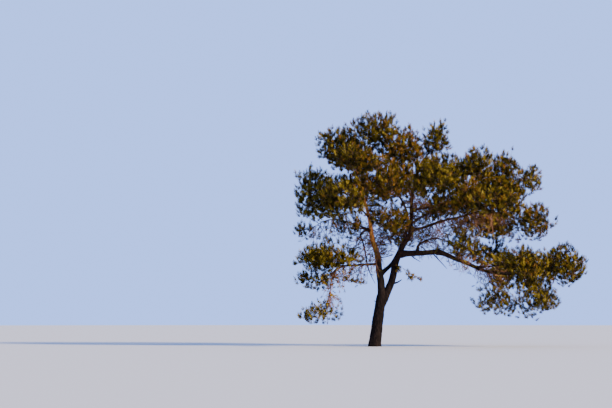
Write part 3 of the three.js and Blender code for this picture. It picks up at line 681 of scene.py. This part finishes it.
# A limb is wider where it leaves the one that carries it.
def collar(name, curve, lengths):
    carrier = curve_through(limb_path(LIMBS[name][0]), BARK_RING)
    nearest = np.argmin(norm(carrier["points"] - curve["points"][0]))
    beyond = np.maximum(lengths - carrier["radii"][nearest], 0)
    return (1 + COLLAR * np.exp(-beyond / (COLLAR_REACH * curve["radii"][0])))[:, None]


def limb_shape(name, offset):
    curve = curve_through(limb_path(name), BARK_RING)
    steps = norm(np.diff(curve["points"], axis=0))
    lengths = np.concatenate([[0], np.cumsum(steps)])
    around_it = 2 * math.pi * curve["radii"].max()
    sides = int(min(max(around_it / BARK_SIDE, FEWEST_SIDES), MOST_SIDES))
    swell = bark_relief(curve["radii"], lengths, sides, offset)
    if name == "trunk":
        swell *= flare(curve, sides)
    elif name not in FORK_STEMS:
        swell *= collar(name, curve, lengths)
    points, faces = tube(curve["points"], curve["radii"], sides, swell)
    if name == "trunk":
        points[:sides, 2] = 0
        points[:, 2] = np.maximum(points[:, 2], 0)
    return points, faces


# The point, direction and radius at a share of a limb's length, on the source's own rings.
def along_limb(name, share):
    rings = RINGS[name]
    steps = np.diff(rings["points"], axis=0)
    lengths = norm(steps)
    ends = np.cumsum(lengths)
    k = min(int(np.searchsorted(ends, share * ends[-1])), len(lengths) - 1)
    part = min((share * ends[-1] - ends[k] + lengths[k]) / lengths[k], 1)
    radius = rings["radii"][k] + part * (rings["radii"][k + 1] - rings["radii"][k])
    return rings["points"][k] + part * steps[k], unit(steps[k]), radius


def mass_from(name):
    middle, half, limb, along = MASSES[name]
    half = np.array(half) * MM
    size = (half[0] + half[1] + FLATNESS * half[2]) / 3
    tilt = math.radians(TILTS.get(name, 0))
    axes = [[math.cos(tilt), 0, math.sin(tilt)], [0, 1, 0], [-math.sin(tilt), 0, math.cos(tilt)]]
    return {
        "name": name, "middle": np.array(middle) * MM, "half": half, "axes": np.array(axes), "size": size,
        "spray": min(max(SPRAY_SHARE * size, SPRAY_MIN), SPRAY_MAX), "limb": limb, "along": along,
    }


# Two masses share the space between them along one plane.
def in_own_space(points, own):
    flat = np.array([1, 1, FLATNESS * FLATNESS])

    def power(mass):
        return np.sum((points - mass["middle"]) ** 2 * flat, axis=1) - mass["size"] ** 2

    inside = np.ones(len(points), bool)
    own_power = power(own)
    for other in masses:
        if other is not own:
            slope = norm(2 * flat * (other["middle"] - own["middle"]))
            inside &= (own_power - power(other)) / slope < -CELL_MARGIN
    return inside


# The stem starts sunk in its limb and ends at the hub, inside the mass.
def stem_of(mass):
    point, way, radius = along_limb(mass["limb"], mass["along"])
    start = point - SUNK_ROOT * way if mass["along"] == 1 else point
    distance = norm((point - mass["middle"]) @ mass["axes"].T / mass["half"])
    share = 1 - HUB_DEPTH / distance if distance > HUB_DEPTH else HUB_DEPTH / 2
    hub = point + share * (mass["middle"] - point)
    return {"start": start, "way": way, "hub": hub, "radius": radius * STEM_TAPER}


# Ways to the points of a spiral lattice on a ball with a flatter underside.
def lattice(count, jitter, underside):
    steps = np.arange(count)
    height = 1 - (2 * steps + 1) / count
    turn = steps * GOLDEN_ANGLE + jitter
    ring = np.sqrt(1 - height ** 2)
    low = np.where(height < 0, underside, 1)
    return np.stack([ring * np.cos(turn), ring * np.sin(turn), height * low], axis=1)


def surface_of(mass):
    a, b, c = mass["half"]
    mean = ((a * b) ** THOMSEN + (a * c) ** THOMSEN + (b * c) ** THOMSEN) / 3
    return 4 * math.pi * mean ** (1 / THOMSEN)


# The chance lean of a spray. The source draws the spray's teeth before it and its roll after it.
def lean_of(random):
    for _ in range(TEETH):
        random()
    lean = random()
    random()
    return lean


# The places of a mass's sprays.
def sites_of(mass, random):
    count = max(FEWEST_SITES, math.floor(surface_of(mass) / SITE_AREA + 0.5))
    inset = np.minimum(SITE_INSET * mass["spray"], DEEPEST_INSET * mass["half"])
    jitter, leans = np.array([[random(), lean_of(random)] for _ in range(count)]).T
    ways = lattice(count, LATTICE_JITTER * (jitter - 0.5), UNDERSIDE)
    inner = np.where(np.arange(count) % INNER_EVERY == INNER_EVERY - 1, INNER_REACH, 1)
    points = mass["middle"] + (ways * inner[:, None] * (mass["half"] - inset)) @ mass["axes"]
    outward = unit((ways / mass["half"]) @ mass["axes"])
    return [{"point": point, "outward": way, "lean": lean}
            for point, way, lean in zip(points, outward, leans)]


# Joins every point to the root: again and again the point and the joint that cost least, where the cost
# is the new twig's length plus a share of the whole way back to the root. Joint 0 is the root.
def join_points(root, points):
    way = norm(points - root)
    cost = way * (1 + DETOUR_COST)
    parent = np.zeros(len(points), int)
    waiting = np.ones(len(points), bool)
    order = []
    for _ in points:
        best = int(np.argmin(np.where(waiting, cost, np.inf)))
        waiting[best] = False
        order.append(best)
        length = norm(points - points[best])
        onward = way[best] + length
        better = waiting & (length + DETOUR_COST * onward < cost)
        way[better] = onward[better]
        cost[better] = (length + DETOUR_COST * onward)[better]
        parent[better] = best + 1
    carried = np.ones(len(points))
    for k in reversed(order):
        if parent[k] > 0:
            carried[parent[k] - 1] += carried[k]
    return parent, carried, order


# The way a spray grows: on from its twig, outward, sideways and a little up.
def growth_of(site, way):
    angle = 2 * math.pi * site["lean"]
    sideways = square_to(site["outward"], np.array([math.cos(angle), math.sin(angle), 0]))
    growth = unit(GROWTH["onward"] * way + GROWTH["sideways"] * sideways
                  + GROWTH["outward"] * site["outward"] + GROWTH["upward"] * UP)
    onward = max(float(growth @ way), LEAST_ONWARD)
    return square_to(way, growth) * math.sqrt(1 - onward * onward) + way * onward


# The source's twigs of one mass: where each starts and ends, its directions there and its thickness.
def skeleton(mass, index):
    random = seeded(SEED + index)
    stem = stem_of(mass)
    sites = sites_of(mass, random)
    own = in_own_space(np.array([site["point"] for site in sites]), mass)
    room = HUB_ROOM * mass["spray"]
    kept = [site for site, inside in zip(sites, own)
            if inside and norm(site["point"] - stem["hub"]) > room]
    parent, carried, order = join_points(stem["hub"], np.array([site["point"] for site in kept]))
    hub = {"point": stem["hub"], "outward": UP, "lean": lean_of(random)}
    growth = growth_of(hub, unit(stem["hub"] - stem["start"]))
    grown = {0: {"start": stem["start"], "out": stem["way"], "site": hub, "growth": growth,
                 "carried": 1 + len(kept)}}
    for k in order:
        before = grown[parent[k]]
        start = before["site"]["point"]
        growth = growth_of(kept[k], unit(kept[k]["point"] - start))
        grown[k + 1] = {"start": start, "out": before["growth"], "site": kept[k], "growth": growth,
                        "carried": carried[k]}
    joints = list(grown.values())
    for joint in joints:
        joint["radius"] = min(TWIG_RADIUS * math.sqrt(joint["carried"]), stem["radius"] * STEM_TAPER)
        joint["first"] = joint["radius"]
    joints[0]["first"] = stem["radius"]
    return joints


# A smooth twig that leaves its joint the way the joint grows and arrives the way its own spray grows.
def twig_curve(joint):
    start = joint["start"]
    end = joint["site"]["point"]
    reach = norm(end - start) * TWIG_BEND
    t = np.linspace(0, 1, STOUT_RINGS)[:, None]
    return ((2 * t ** 3 - 3 * t ** 2 + 1) * start + (t ** 3 - 2 * t ** 2 + t) * joint["out"] * reach
            + (3 * t ** 2 - 2 * t ** 3) * end + (t ** 3 - t ** 2) * joint["growth"] * reach)


# Which points keep to the mass's space, inside the box and clear of all limbs.
def has_room(points, mass):
    inside = np.all((points > LOW_CORNER) & (points < HIGH_CORNER), axis=1)
    gap = norm(points[:, None] - WOOD["points"][None]) - WOOD["radii"]
    return inside & in_own_space(points, mass) & (gap.min(axis=1) > WOOD_CLEARANCE)


# Which points leave the gaps of sky open, as they are seen from the front.
def clear_of_gaps(points, chance):
    seen = EYE + (points - EYE) * (EYE[1] / (EYE[1] - points[:, 1]))[:, None]
    clear = np.ones(len(points), bool)
    for x, z, half_x, half_z in np.array(SKY_GAPS) * MM:
        away = np.hypot((seen[:, 0] - x) / half_x, (seen[:, 2] - z) / half_z)
        clear &= away > chance.uniform(*GAP_EDGE, len(points))
    return clear


# Where the fine twigs of one clump end, their ways outward, and which of them are deep in the clump.
def clump_points(mass, joint, chance):
    length = mass["spray"]
    middle = joint["site"]["point"] + CLUMP_FORWARD * length * joint["growth"]
    half = length * np.array(CLUMP_HALF)
    kept = OPEN_MASSES.get(mass["name"], 1)
    count = max(FEWEST_TWIGS, round(kept * CLUMP_TWIGS * (length / SPRAY_MAX) ** 2))
    ways = lattice(count, CLUMP_JITTER * chance.normal(size=count), CLUMP_UNDERSIDE)
    layers = np.resize(CLUMP_LAYERS, count)
    layer = layers * chance.uniform(*LAYER_CHANCE, count)
    points = middle + ways * layer[:, None] * half
    away = (points - mass["middle"]) @ mass["axes"].T
    reach = norm(away / (mass["half"] - EDGE_INSET))
    edge = chance.uniform(*EDGE_RANGE) * chance.uniform(*EDGE_JITTER, count)
    points = mass["middle"] + (away * np.minimum(edge / reach, 1)[:, None]) @ mass["axes"]
    fits = has_room(points, mass) & clear_of_gaps(points, chance)
    return points[fits], unit(ways / half)[fits], layer[fits] < DEEP_LAYER


# The tufts of the fringes whose first tuft is nearest to this spray of the mass, and their ways outward.
def fringe_points(mass, joints, joint, chance):
    sites = np.array([other["site"]["point"] for other in joints])
    points = [np.empty((0, 3))]
    for first, last, count in FRINGES.get(mass["name"], []):
        ends = np.array([first, last]) * MM
        nearest = np.argmin(norm(sites - ends[0]))
        if joints[nearest] is joint:
            share = np.linspace(0, 1, count)[:, None]
            jitter = FRINGE_JITTER * chance.normal(size=(count, 3))
            points.append(ends[0] + (ends[1] - ends[0]) * share + jitter)
    points = np.clip(np.vstack(points), LOW_CORNER, HIGH_CORNER)
    return points, unit((points - mass["middle"]) / mass["half"])


# The tufts of one spray: those of its clump and then those of its fringes, which are never deep.
def tufts_of(mass, joints, joint, chance):
    points, outward, deep = clump_points(mass, joint, chance)
    fringe, fringe_ways = fringe_points(mass, joints, joint, chance)
    return {
        "point": np.vstack([points, fringe]), "outward": np.vstack([outward, fringe_ways]),
        "deep": np.concatenate([deep, np.zeros(len(fringe), bool)]),
    }


# The fine twigs that join a spray's tufts to it, and the ways of the shoots that end them.
def grow_twigs(joint, tufts, chance):
    points = tufts["point"]
    root = joint["site"]["point"]
    parent, carried, _ = join_points(root, points)
    starts = np.vstack([root, points])[parent]
    radii = FINE_RADIUS * np.sqrt(carried)
    ways = unit(SHOOT_WAY["onward"] * unit(points - starts) + SHOOT_WAY["outward"] * tufts["outward"]
                + SHOOT_WAY["upward"] * UP + SHOOT_CHANCE * chance.normal(size=points.shape))
    first = np.minimum(radii * FINE_TAPER[0], FINE_ROOM * joint["radius"])
    return {"start": starts, "end": points, "first": first, "last": radii * FINE_TAPER[1]}, ways


# The shoots of the tufts: a leader at each point and others in a whorl round it.
def tuft_shoots(points, ways, chance):
    side, other = sides_of(ways)
    turn = chance.uniform(0, 2 * math.pi, len(points))
    all_ways = [ways]
    for k in range(SIDE_SHOOTS):
        lean = around(side, other, (turn + 2 * math.pi * k / SIDE_SHOOTS)[:, None])
        jitter = WHORL_CHANCE * chance.normal(size=ways.shape)
        all_ways.append(unit(ways + SIDE_LEAN * lean + jitter))
    share = [LEADER_SHARE] + [SIDE_SHARE] * SIDE_SHOOTS
    share = share * chance.uniform(*SIZE_CHANCE, (len(points), TUFT_SHOOTS))
    return {
        "base": np.repeat(points, TUFT_SHOOTS, axis=0), "way": np.stack(all_ways, axis=1).reshape(-1, 3),
        "share": share.ravel(),
    }


# All foliage: the twigs of each mass, the fine twigs of each clump, and the shoots that end them.
def grow_foliage():
    chance = np.random.default_rng(SEED)
    stout = []
    fine = []
    shoots = []
    for index, mass in enumerate(masses):
        joints = skeleton(mass, index)
        stout += joints
        for joint in joints:
            tufts = tufts_of(mass, joints, joint, chance)
            if len(tufts["point"]) > 0:
                twigs, ways = grow_twigs(joint, tufts, chance)
                grown = tuft_shoots(tufts["point"], ways, chance)
                grown["mass"] = np.full(len(grown["base"]), index)
                grown["deep"] = np.repeat(tufts["deep"], TUFT_SHOOTS)
                grown["tone"] = np.full(len(grown["base"]), chance.normal())
                fine.append(twigs)
                shoots.append(grown)
    return stout, merged(fine), merged(shoots)


# The stems and twigs of the source's own rule, as smooth tubes.
def stout_twigs(stout):
    parts = []
    for joint in stout:
        radii = np.linspace(joint["first"], STOUT_TAPER * joint["radius"], STOUT_RINGS)
        parts.append(tube(twig_curve(joint), radii, STOUT_SIDES))
    return joined(parts)


def fine_twigs(fine):
    points = np.stack([fine["start"], fine["end"]], axis=1)
    radii = np.stack([fine["first"], fine["last"]], axis=1)
    return tubes(points, radii, THIN_SIDES)


# The woody core of each tuft's leading shoot, a slim three-sided cone.
def shoot_cores(shoots):
    leaders = chosen_of(shoots, slice(None, None, TUFT_SHOOTS))
    way = leaders["way"]
    side, other = sides_of(way)
    foot = leaders["base"] - way * CORE_RADIUS
    angles = [2 * math.pi * k / THIN_SIDES for k in range(THIN_SIDES)]
    corners = [foot + CORE_RADIUS * around(side, other, angle) for angle in angles]
    tip = leaders["base"] + way * leaders["share"][:, None] * SHOOT_LENGTH * CORE_REACH
    return copies(np.stack([*corners, tip], axis=1), [[0, 1, 3], [1, 2, 3], [2, 0, 3]])


# Pairs of needles round each shoot: spread at its foot and forward at its tip. A needle is a slim triangle
# that faces away from the shoot, and the two of a pair stand side by side and open into a V.
def needles(shoots, chance):
    way = shoots["way"]
    count = len(way)
    step = (np.arange(PAIRS) + 0.5) / PAIRS
    turn = np.arange(PAIRS) * GOLDEN_ANGLE + chance.uniform(0, 2 * math.pi, (count, 1))
    spread = NEEDLE_SPREAD[0] + (NEEDLE_SPREAD[1] - NEEDLE_SPREAD[0]) * step
    spread = (spread + chance.normal(size=(count, PAIRS)) * NEEDLE_SPREAD_CHANCE)[..., None]
    side, other = sides_of(way)
    outward = around(side[:, None], other[:, None], turn[..., None])
    lean = around(way[:, None], outward, spread)
    twist = NEEDLE_TWIST * chance.normal(size=(count, PAIRS, 1))
    across = unit(np.cross(way[:, None], outward))
    across = around(across, np.cross(lean, across), twist)
    along = (shoots["share"][:, None] * step * SHOOT_LENGTH)[..., None]
    start = shoots["base"][:, None] + way[:, None] * along
    size = shoots["size"][:, None, None]
    length = NEEDLE_LENGTH * size * chance.uniform(*SIZE_CHANCE, (count, PAIRS, 1))
    ahead = start + length * lean * math.cos(PAIR_OPENING)
    apart = across * (length * math.sin(PAIR_OPENING) + NEEDLE_WIDTH * size / 2)
    edge = across * NEEDLE_WIDTH * size
    points = [start - edge, start, start + edge, ahead - apart, ahead + apart]
    return copies(np.stack(points, axis=2).reshape(-1, len(points), 3), [[0, 1, 3], [1, 2, 4]])


# Bare twigs that leave a limb, each with side twigs of its own, and where and how shoots end some of them.
def bare_twigs(chance):
    lines = []
    radii = []
    tufted = []

    def grow(start, way, length, radius, tuft_share):
        t = np.linspace(0, 1, BARE_RINGS)[:, None]
        droop = -BARE_DROOP * UP * length * t ** 2
        wander = np.cumsum(chance.normal(size=(BARE_RINGS, 3)), axis=0) * BARE_WANDER * length * (t > 0)
        line = start + way * length * t + droop + wander
        lines.append(line)
        radii.append(np.linspace(radius, BARE_TAPER * radius, BARE_RINGS))
        if chance.uniform() < tuft_share:
            tufted.append(line)
        return line

    for limb, low, high, count, way, length, tuft_share in BARE_TWIGS:
        for share in chance.uniform(low, high, count):
            main = unit(np.array(way) + BARE_SPREAD * chance.normal(size=3))
            size = length * chance.uniform(*BARE_SIZES)
            line = grow(along_limb(limb, share)[0], main, size, BARE_RADIUS, tuft_share)
            for place in SIDE_TWIGS:
                k = place * (BARE_RINGS - 1)
                whole = int(k)
                root = line[whole] + (k - whole) * (line[whole + 1] - line[whole])
                side = unit(main + SIDE_TWIG_SPREAD * chance.normal(size=3))
                grow(root, side, SIDE_TWIG_LENGTH * size, SIDE_TWIG_RADIUS * BARE_RADIUS, tuft_share)
    tips = np.array(tufted)[:, -1]
    ways = unit(unit(tips - np.array(tufted)[:, -2]) + TIP_UPWARD * UP)
    return tubes(np.array(lines), np.array(radii), THIN_SIDES), tips, ways


def single_twigs(table):
    curves = [curve_through(path, LONE_RING) for path in table]
    return joined([tube(curve["points"], curve["radii"], STOUT_SIDES) for curve in curves])


# Tufts along the outer part of each sparse twig.
def sparse_shoots(chance):
    points = []
    ways = []
    for path in SPARSE_TWIGS:
        curve = curve_through(path, SPARSE_RING)
        for share in np.linspace(SPARSE_FROM, 1, SPARSE_TUFTS):
            k = round(share * (len(curve["points"]) - 1))
            points.append(curve["points"][k])
            way = curve["ways"][k] + SPARSE_UPWARD * UP + SPARSE_CHANCE * chance.normal(size=3)
            ways.append(unit(way))
    return tuft_shoots(np.array(points), np.array(ways), chance)


def new_material(name):
    material = bpy.data.materials.new(name)
    material.use_nodes = True
    return material, material.node_tree, material.node_tree.nodes["Principled BSDF"]


# Sets or links the inputs of a node, by name or number.
def feed(tree, made, inputs):
    for name, value in inputs.items():
        socket = made.inputs[name]
        if isinstance(value, bpy.types.NodeSocket):
            tree.links.new(value, socket)
        elif socket.type == "RGBA":
            socket.default_value = (*value, 1)
        else:
            socket.default_value = value


def node(tree, kind, inputs):
    made = tree.nodes.new("ShaderNode" + kind)
    feed(tree, made, inputs)
    return made


def mixed(tree, factor, first, second):
    mix = tree.nodes.new("ShaderNodeMix")
    mix.data_type = "RGBA"
    feed(tree, mix, {MIX_FACTOR: factor, MIX_FIRST: first, MIX_SECOND: second})
    return mix.outputs[MIX_RESULT]


def ramp(tree, value, low, high):
    spread = node(tree, "MapRange", {"Value": value, "From Min": low, "From Max": high})
    spread.interpolation_type = "SMOOTHSTEP"
    return spread.outputs["Result"]


# The object's own coordinates, squeezed along Z so that a pattern stands tall, and their height.
def coordinates(tree, tall):
    place = node(tree, "TexCoord", {}).outputs["Object"]
    mapping = node(tree, "Mapping", {"Vector": place, "Scale": (1, 1, 1 / tall)})
    parts = node(tree, "SeparateXYZ", {"Vector": place})
    return mapping.outputs["Vector"], parts.outputs["Z"]


def noise_of(tree, vector, scale, detail):
    return node(tree, "TexNoise", {"Vector": vector, "Scale": scale, "Detail": detail}).outputs["Fac"]


def blotches(tree, vector, scale, detail, low, high):
    return ramp(tree, noise_of(tree, vector, scale, detail), low, high)


def cracks_of(tree, vector, scale):
    texture = node(tree, "TexVoronoi", {"Vector": vector, "Scale": scale})
    texture.feature = "DISTANCE_TO_EDGE"
    return texture.outputs["Distance"]


def bump(tree, height, strength, depth):
    return node(tree, "Bump", {"Height": height, "Strength": strength, "Distance": depth}).outputs["Normal"]


# Dark bark in tall plates between furrows, redder and thinner higher up.
def furrowed_bark():
    material, tree, shader = new_material("furrowed_bark")
    vector, height = coordinates(tree, PLATE_TALL)
    plates = ramp(tree, cracks_of(tree, vector, CRACK_SCALE), *CRACK_EDGES)
    plate = mixed(tree, blotches(tree, vector, *PLATE_BLOTCHES), FURROW_COLOUR, PLATE_COLOUR)
    plate = mixed(tree, ramp(tree, height, *REDDISH_HEIGHTS), plate, REDDISH_COLOUR)
    feed(tree, shader, {
        "Base Color": mixed(tree, plates, FURROW_COLOUR, plate), "Roughness": PLATE_ROUGHNESS,
        "Specular IOR Level": BARK_SPECULAR, "Normal": bump(tree, plates, *PLATE_RELIEF),
    })
    return material


# Thin bark that peels in flakes off brighter bark, and is dark low down.
def flaking_bark(name, flake, bare):
    material, tree, shader = new_material(name)
    vector, height = coordinates(tree, FLAKE_TALL)
    flakes = blotches(tree, vector, *FLAKE_BLOTCHES)
    lower = mixed(tree, blotches(tree, vector, *LOWER_BLOTCHES), FURROW_COLOUR, PLATE_COLOUR)
    upper = mixed(tree, flakes, flake, bare)
    feed(tree, shader, {
        "Base Color": mixed(tree, ramp(tree, height, *ORANGE_HEIGHTS), lower, upper),
        "Roughness": FLAKE_ROUGHNESS, "Specular IOR Level": BARK_SPECULAR,
        "Normal": bump(tree, flakes, *FLAKE_RELIEF),
    })
    return material


def twig_bark(name, colour):
    material, tree, shader = new_material(name)
    vector, _ = coordinates(tree, 1)
    dark = tuple(DARK_SHARE * value for value in colour)
    blend = mixed(tree, noise_of(tree, vector, *TWIG_NOISE), dark, colour)
    feed(tree, shader, {"Base Color": blend, "Roughness": TWIG_ROUGHNESS})
    return material


# Needles have one plain colour in each piece and a waxy gloss that varies along them.
def needle_material(name, colour):
    material, tree, shader = new_material(name)
    vector, _ = coordinates(tree, 1)
    least, most = NEEDLE_ROUGHNESS
    pattern = noise_of(tree, vector, *NEEDLE_NOISE)
    gloss = node(tree, "MapRange", {"Value": pattern, "To Min": least, "To Max": most})
    feed(tree, shader, {
        "Base Color": colour, "Specular IOR Level": NEEDLE_SPECULAR, "Roughness": gloss.outputs["Result"],
    })
    return material


def bark_pieces(bough_bark):
    dark = [limb_shape(name, PATTERN_STEP * k) for k, name in enumerate(LIMBS) if name in DARK_LIMBS]
    piece("bark_low", joined(dark), furrowed_bark(), DARK_LIMBS, smooth=True)
    stem = limb_shape(ORANGE_LIMB, PATTERN_STEP / 2)
    # The stem's bright orange is partly painted sunlight.
    stem_bark = flaking_bark("stem_bark", STEM_FLAKE_COLOUR, ORANGE_AND_PAINTED_SUN_COLOUR)
    piece("bark_high", stem, stem_bark, [ORANGE_LIMB], smooth=True)
    boughs = [name for name in LIMBS if name not in DARK_LIMBS and name != ORANGE_LIMB]
    shapes = [limb_shape(name, PATTERN_STEP * k) for k, name in enumerate(boughs)]
    piece("bark_boughs", joined(shapes), bough_bark, boughs, smooth=True)


def twig_pieces(stout, fine, shoots, bough_bark):
    names = list(MASSES)
    bark = twig_bark("twig_bark", TWIG_COLOUR)
    shape = joined([stout_twigs(stout), single_twigs(LONE_TWIGS)])
    piece("stout_twigs", shape, bough_bark, names, smooth=True)
    piece("fine_twigs", fine_twigs(fine), bark, names)
    piece("shoot_cores", shoot_cores(shoots), bark, names)


# What a table by mass says for each shoot, or 0.
def by_mass(table, shoots):
    return np.array([table.get(name, 0) for name in MASSES])[shoots["mass"]]


# The number of each shoot's colour in the table of needle colours.
def draw_colours(shoots, chance):
    shares = np.array([[near, deep] for _, near, deep in NEEDLE_COLOURS.values()])
    limits = np.cumsum(shares / shares.sum(axis=0), axis=0)
    own = chance.uniform(size=len(shoots["tone"])) * OWN_CHANCE
    # The mass's shift: browner above zero, painted light below it.
    draw = own + (1 - OWN_CHANCE) / (1 + np.exp(-shoots["tone"])) + by_mass(BROWN_SHIFT_AND_PAINTED_LIGHT, shoots)
    # Painted shade: deep shoots, and a share of the outer shoots of shaded masses, take the darker colours
    # of deep ones.
    in_painted_shade = shoots["deep"] | (chance.uniform(size=len(draw)) < by_mass(SHADED, shoots))
    near, deep = (np.searchsorted(limit, draw) for limit in limits.T)
    return np.minimum(np.where(in_painted_shade, deep, near), len(NEEDLE_COLOURS) - 1)


# The shoots on sparse and bare twigs. They take the needle colours in turn, and go with the last mass.
def stray_shoots(tips, tip_ways, chance):
    sparse = sparse_shoots(chance)
    base = np.vstack([sparse["base"], tips])
    even = np.ones(len(base))
    return {
        "base": base, "way": np.vstack([sparse["way"], tip_ways]), "share": even, "size": even,
        "mass": np.full(len(base), len(masses) - 1), "colour": np.arange(len(base)) % len(NEEDLE_COLOURS),
    }


# Makes pieces of at most MOST_FACES triangles from the shoots of one colour, mass after mass.
def needle_pieces(colour, shoots, chance):
    material = needle_material("needles_" + colour, NEEDLE_COLOURS[colour][0])
    mass = shoots["mass"]
    count = math.ceil(len(mass) / (MOST_FACES // (2 * PAIRS)))
    for part, chosen in enumerate(np.array_split(np.argsort(mass, kind="stable"), count)):
        names = [masses[k]["name"] for k in np.unique(mass[chosen])]
        shape = needles(chosen_of(shoots, chosen), chance)
        piece(f"needles_{colour}_{part + 1}", shape, material, names)


def grow_tree():
    chance = np.random.default_rng(SEED + 1)
    bough_bark = flaking_bark("bough_bark", BOUGH_FLAKE_COLOUR, BOUGH_COLOUR)
    bark_pieces(bough_bark)
    stout, fine, shoots = grow_foliage()
    twig_pieces(stout, fine, shoots, bough_bark)
    bare, tips, tip_ways = bare_twigs(chance)
    bare_shape = joined([single_twigs(SPARSE_TWIGS), bare])
    piece("bare_twigs", bare_shape, twig_bark("dead_twig_bark", BARE_COLOUR), [])
    shoots["colour"] = draw_colours(shoots, chance)
    shoots["size"] = np.where(shoots["deep"], DEEP_SIZE, 1)
    shoots = merged([shoots, stray_shoots(tips, tip_ways, chance)])
    for k, colour in enumerate(NEEDLE_COLOURS):
        needle_pieces(colour, chosen_of(shoots, shoots["colour"] == k), chance)


# A pale floor, a pale plain surrounding and a low warm key light from the right, in front of the tree.
def stage():
    bpy.ops.mesh.primitive_circle_add(vertices=FLOOR_SIDES, radius=FLOOR_RADIUS, fill_type="NGON")
    floor = bpy.context.object
    floor.name = "floor"
    material, tree, shader = new_material("floor")
    feed(tree, shader, {"Base Color": FLOOR_COLOUR, "Roughness": FLOOR_ROUGHNESS})
    floor.data.materials.append(material)
    world = bpy.data.worlds.new("studio")
    bpy.context.scene.world = world
    world.use_nodes = True
    background = world.node_tree.nodes["Background"]
    feed(world.node_tree, background, {"Color": SKY_COLOUR, "Strength": SKY_STRENGTH})
    lamp = bpy.data.lights.new("key", "SUN")
    lamp.energy = KEY_STRENGTH
    lamp.color = KEY_COLOUR
    lamp.angle = KEY_SOFTNESS
    key = bpy.data.objects.new("key", lamp)
    key.rotation_mode = "QUATERNION"
    key.rotation_quaternion = Vector(KEY_FROM).to_track_quat("Z", "Y")
    bpy.context.scene.collection.objects.link(key)


def camera():
    lens = bpy.data.cameras.new("camera")
    lens.sensor_width = SENSOR
    lens.lens = FOCAL_PIXELS / PHOTO_WIDTH * SENSOR
    lens.clip_end = FARTHEST
    eye = bpy.data.objects.new("camera", lens)
    eye.location = EYE
    eye.rotation_euler = (math.pi / 2 + PITCH_UP, 0, 0)
    bpy.context.scene.collection.objects.link(eye)
    bpy.context.scene.camera = eye


camera()
RINGS = {name: curve_through(path, RING_SPACING) for name, (_, path) in LIMBS.items()}
WOOD = merged([curve_through(path, WOOD_SPACING) for _, path in LIMBS.values()])
LOW_CORNER = np.array([CAD_BOX[0][0] + BOX_INSET, CAD_BOX[0][1] + BOX_INSET, LOWEST_NEEDLE])
HIGH_CORNER = np.array(CAD_BOX[1]) - BOX_INSET
masses = [mass_from(name) for name in MASSES]
grow_tree()
stage()
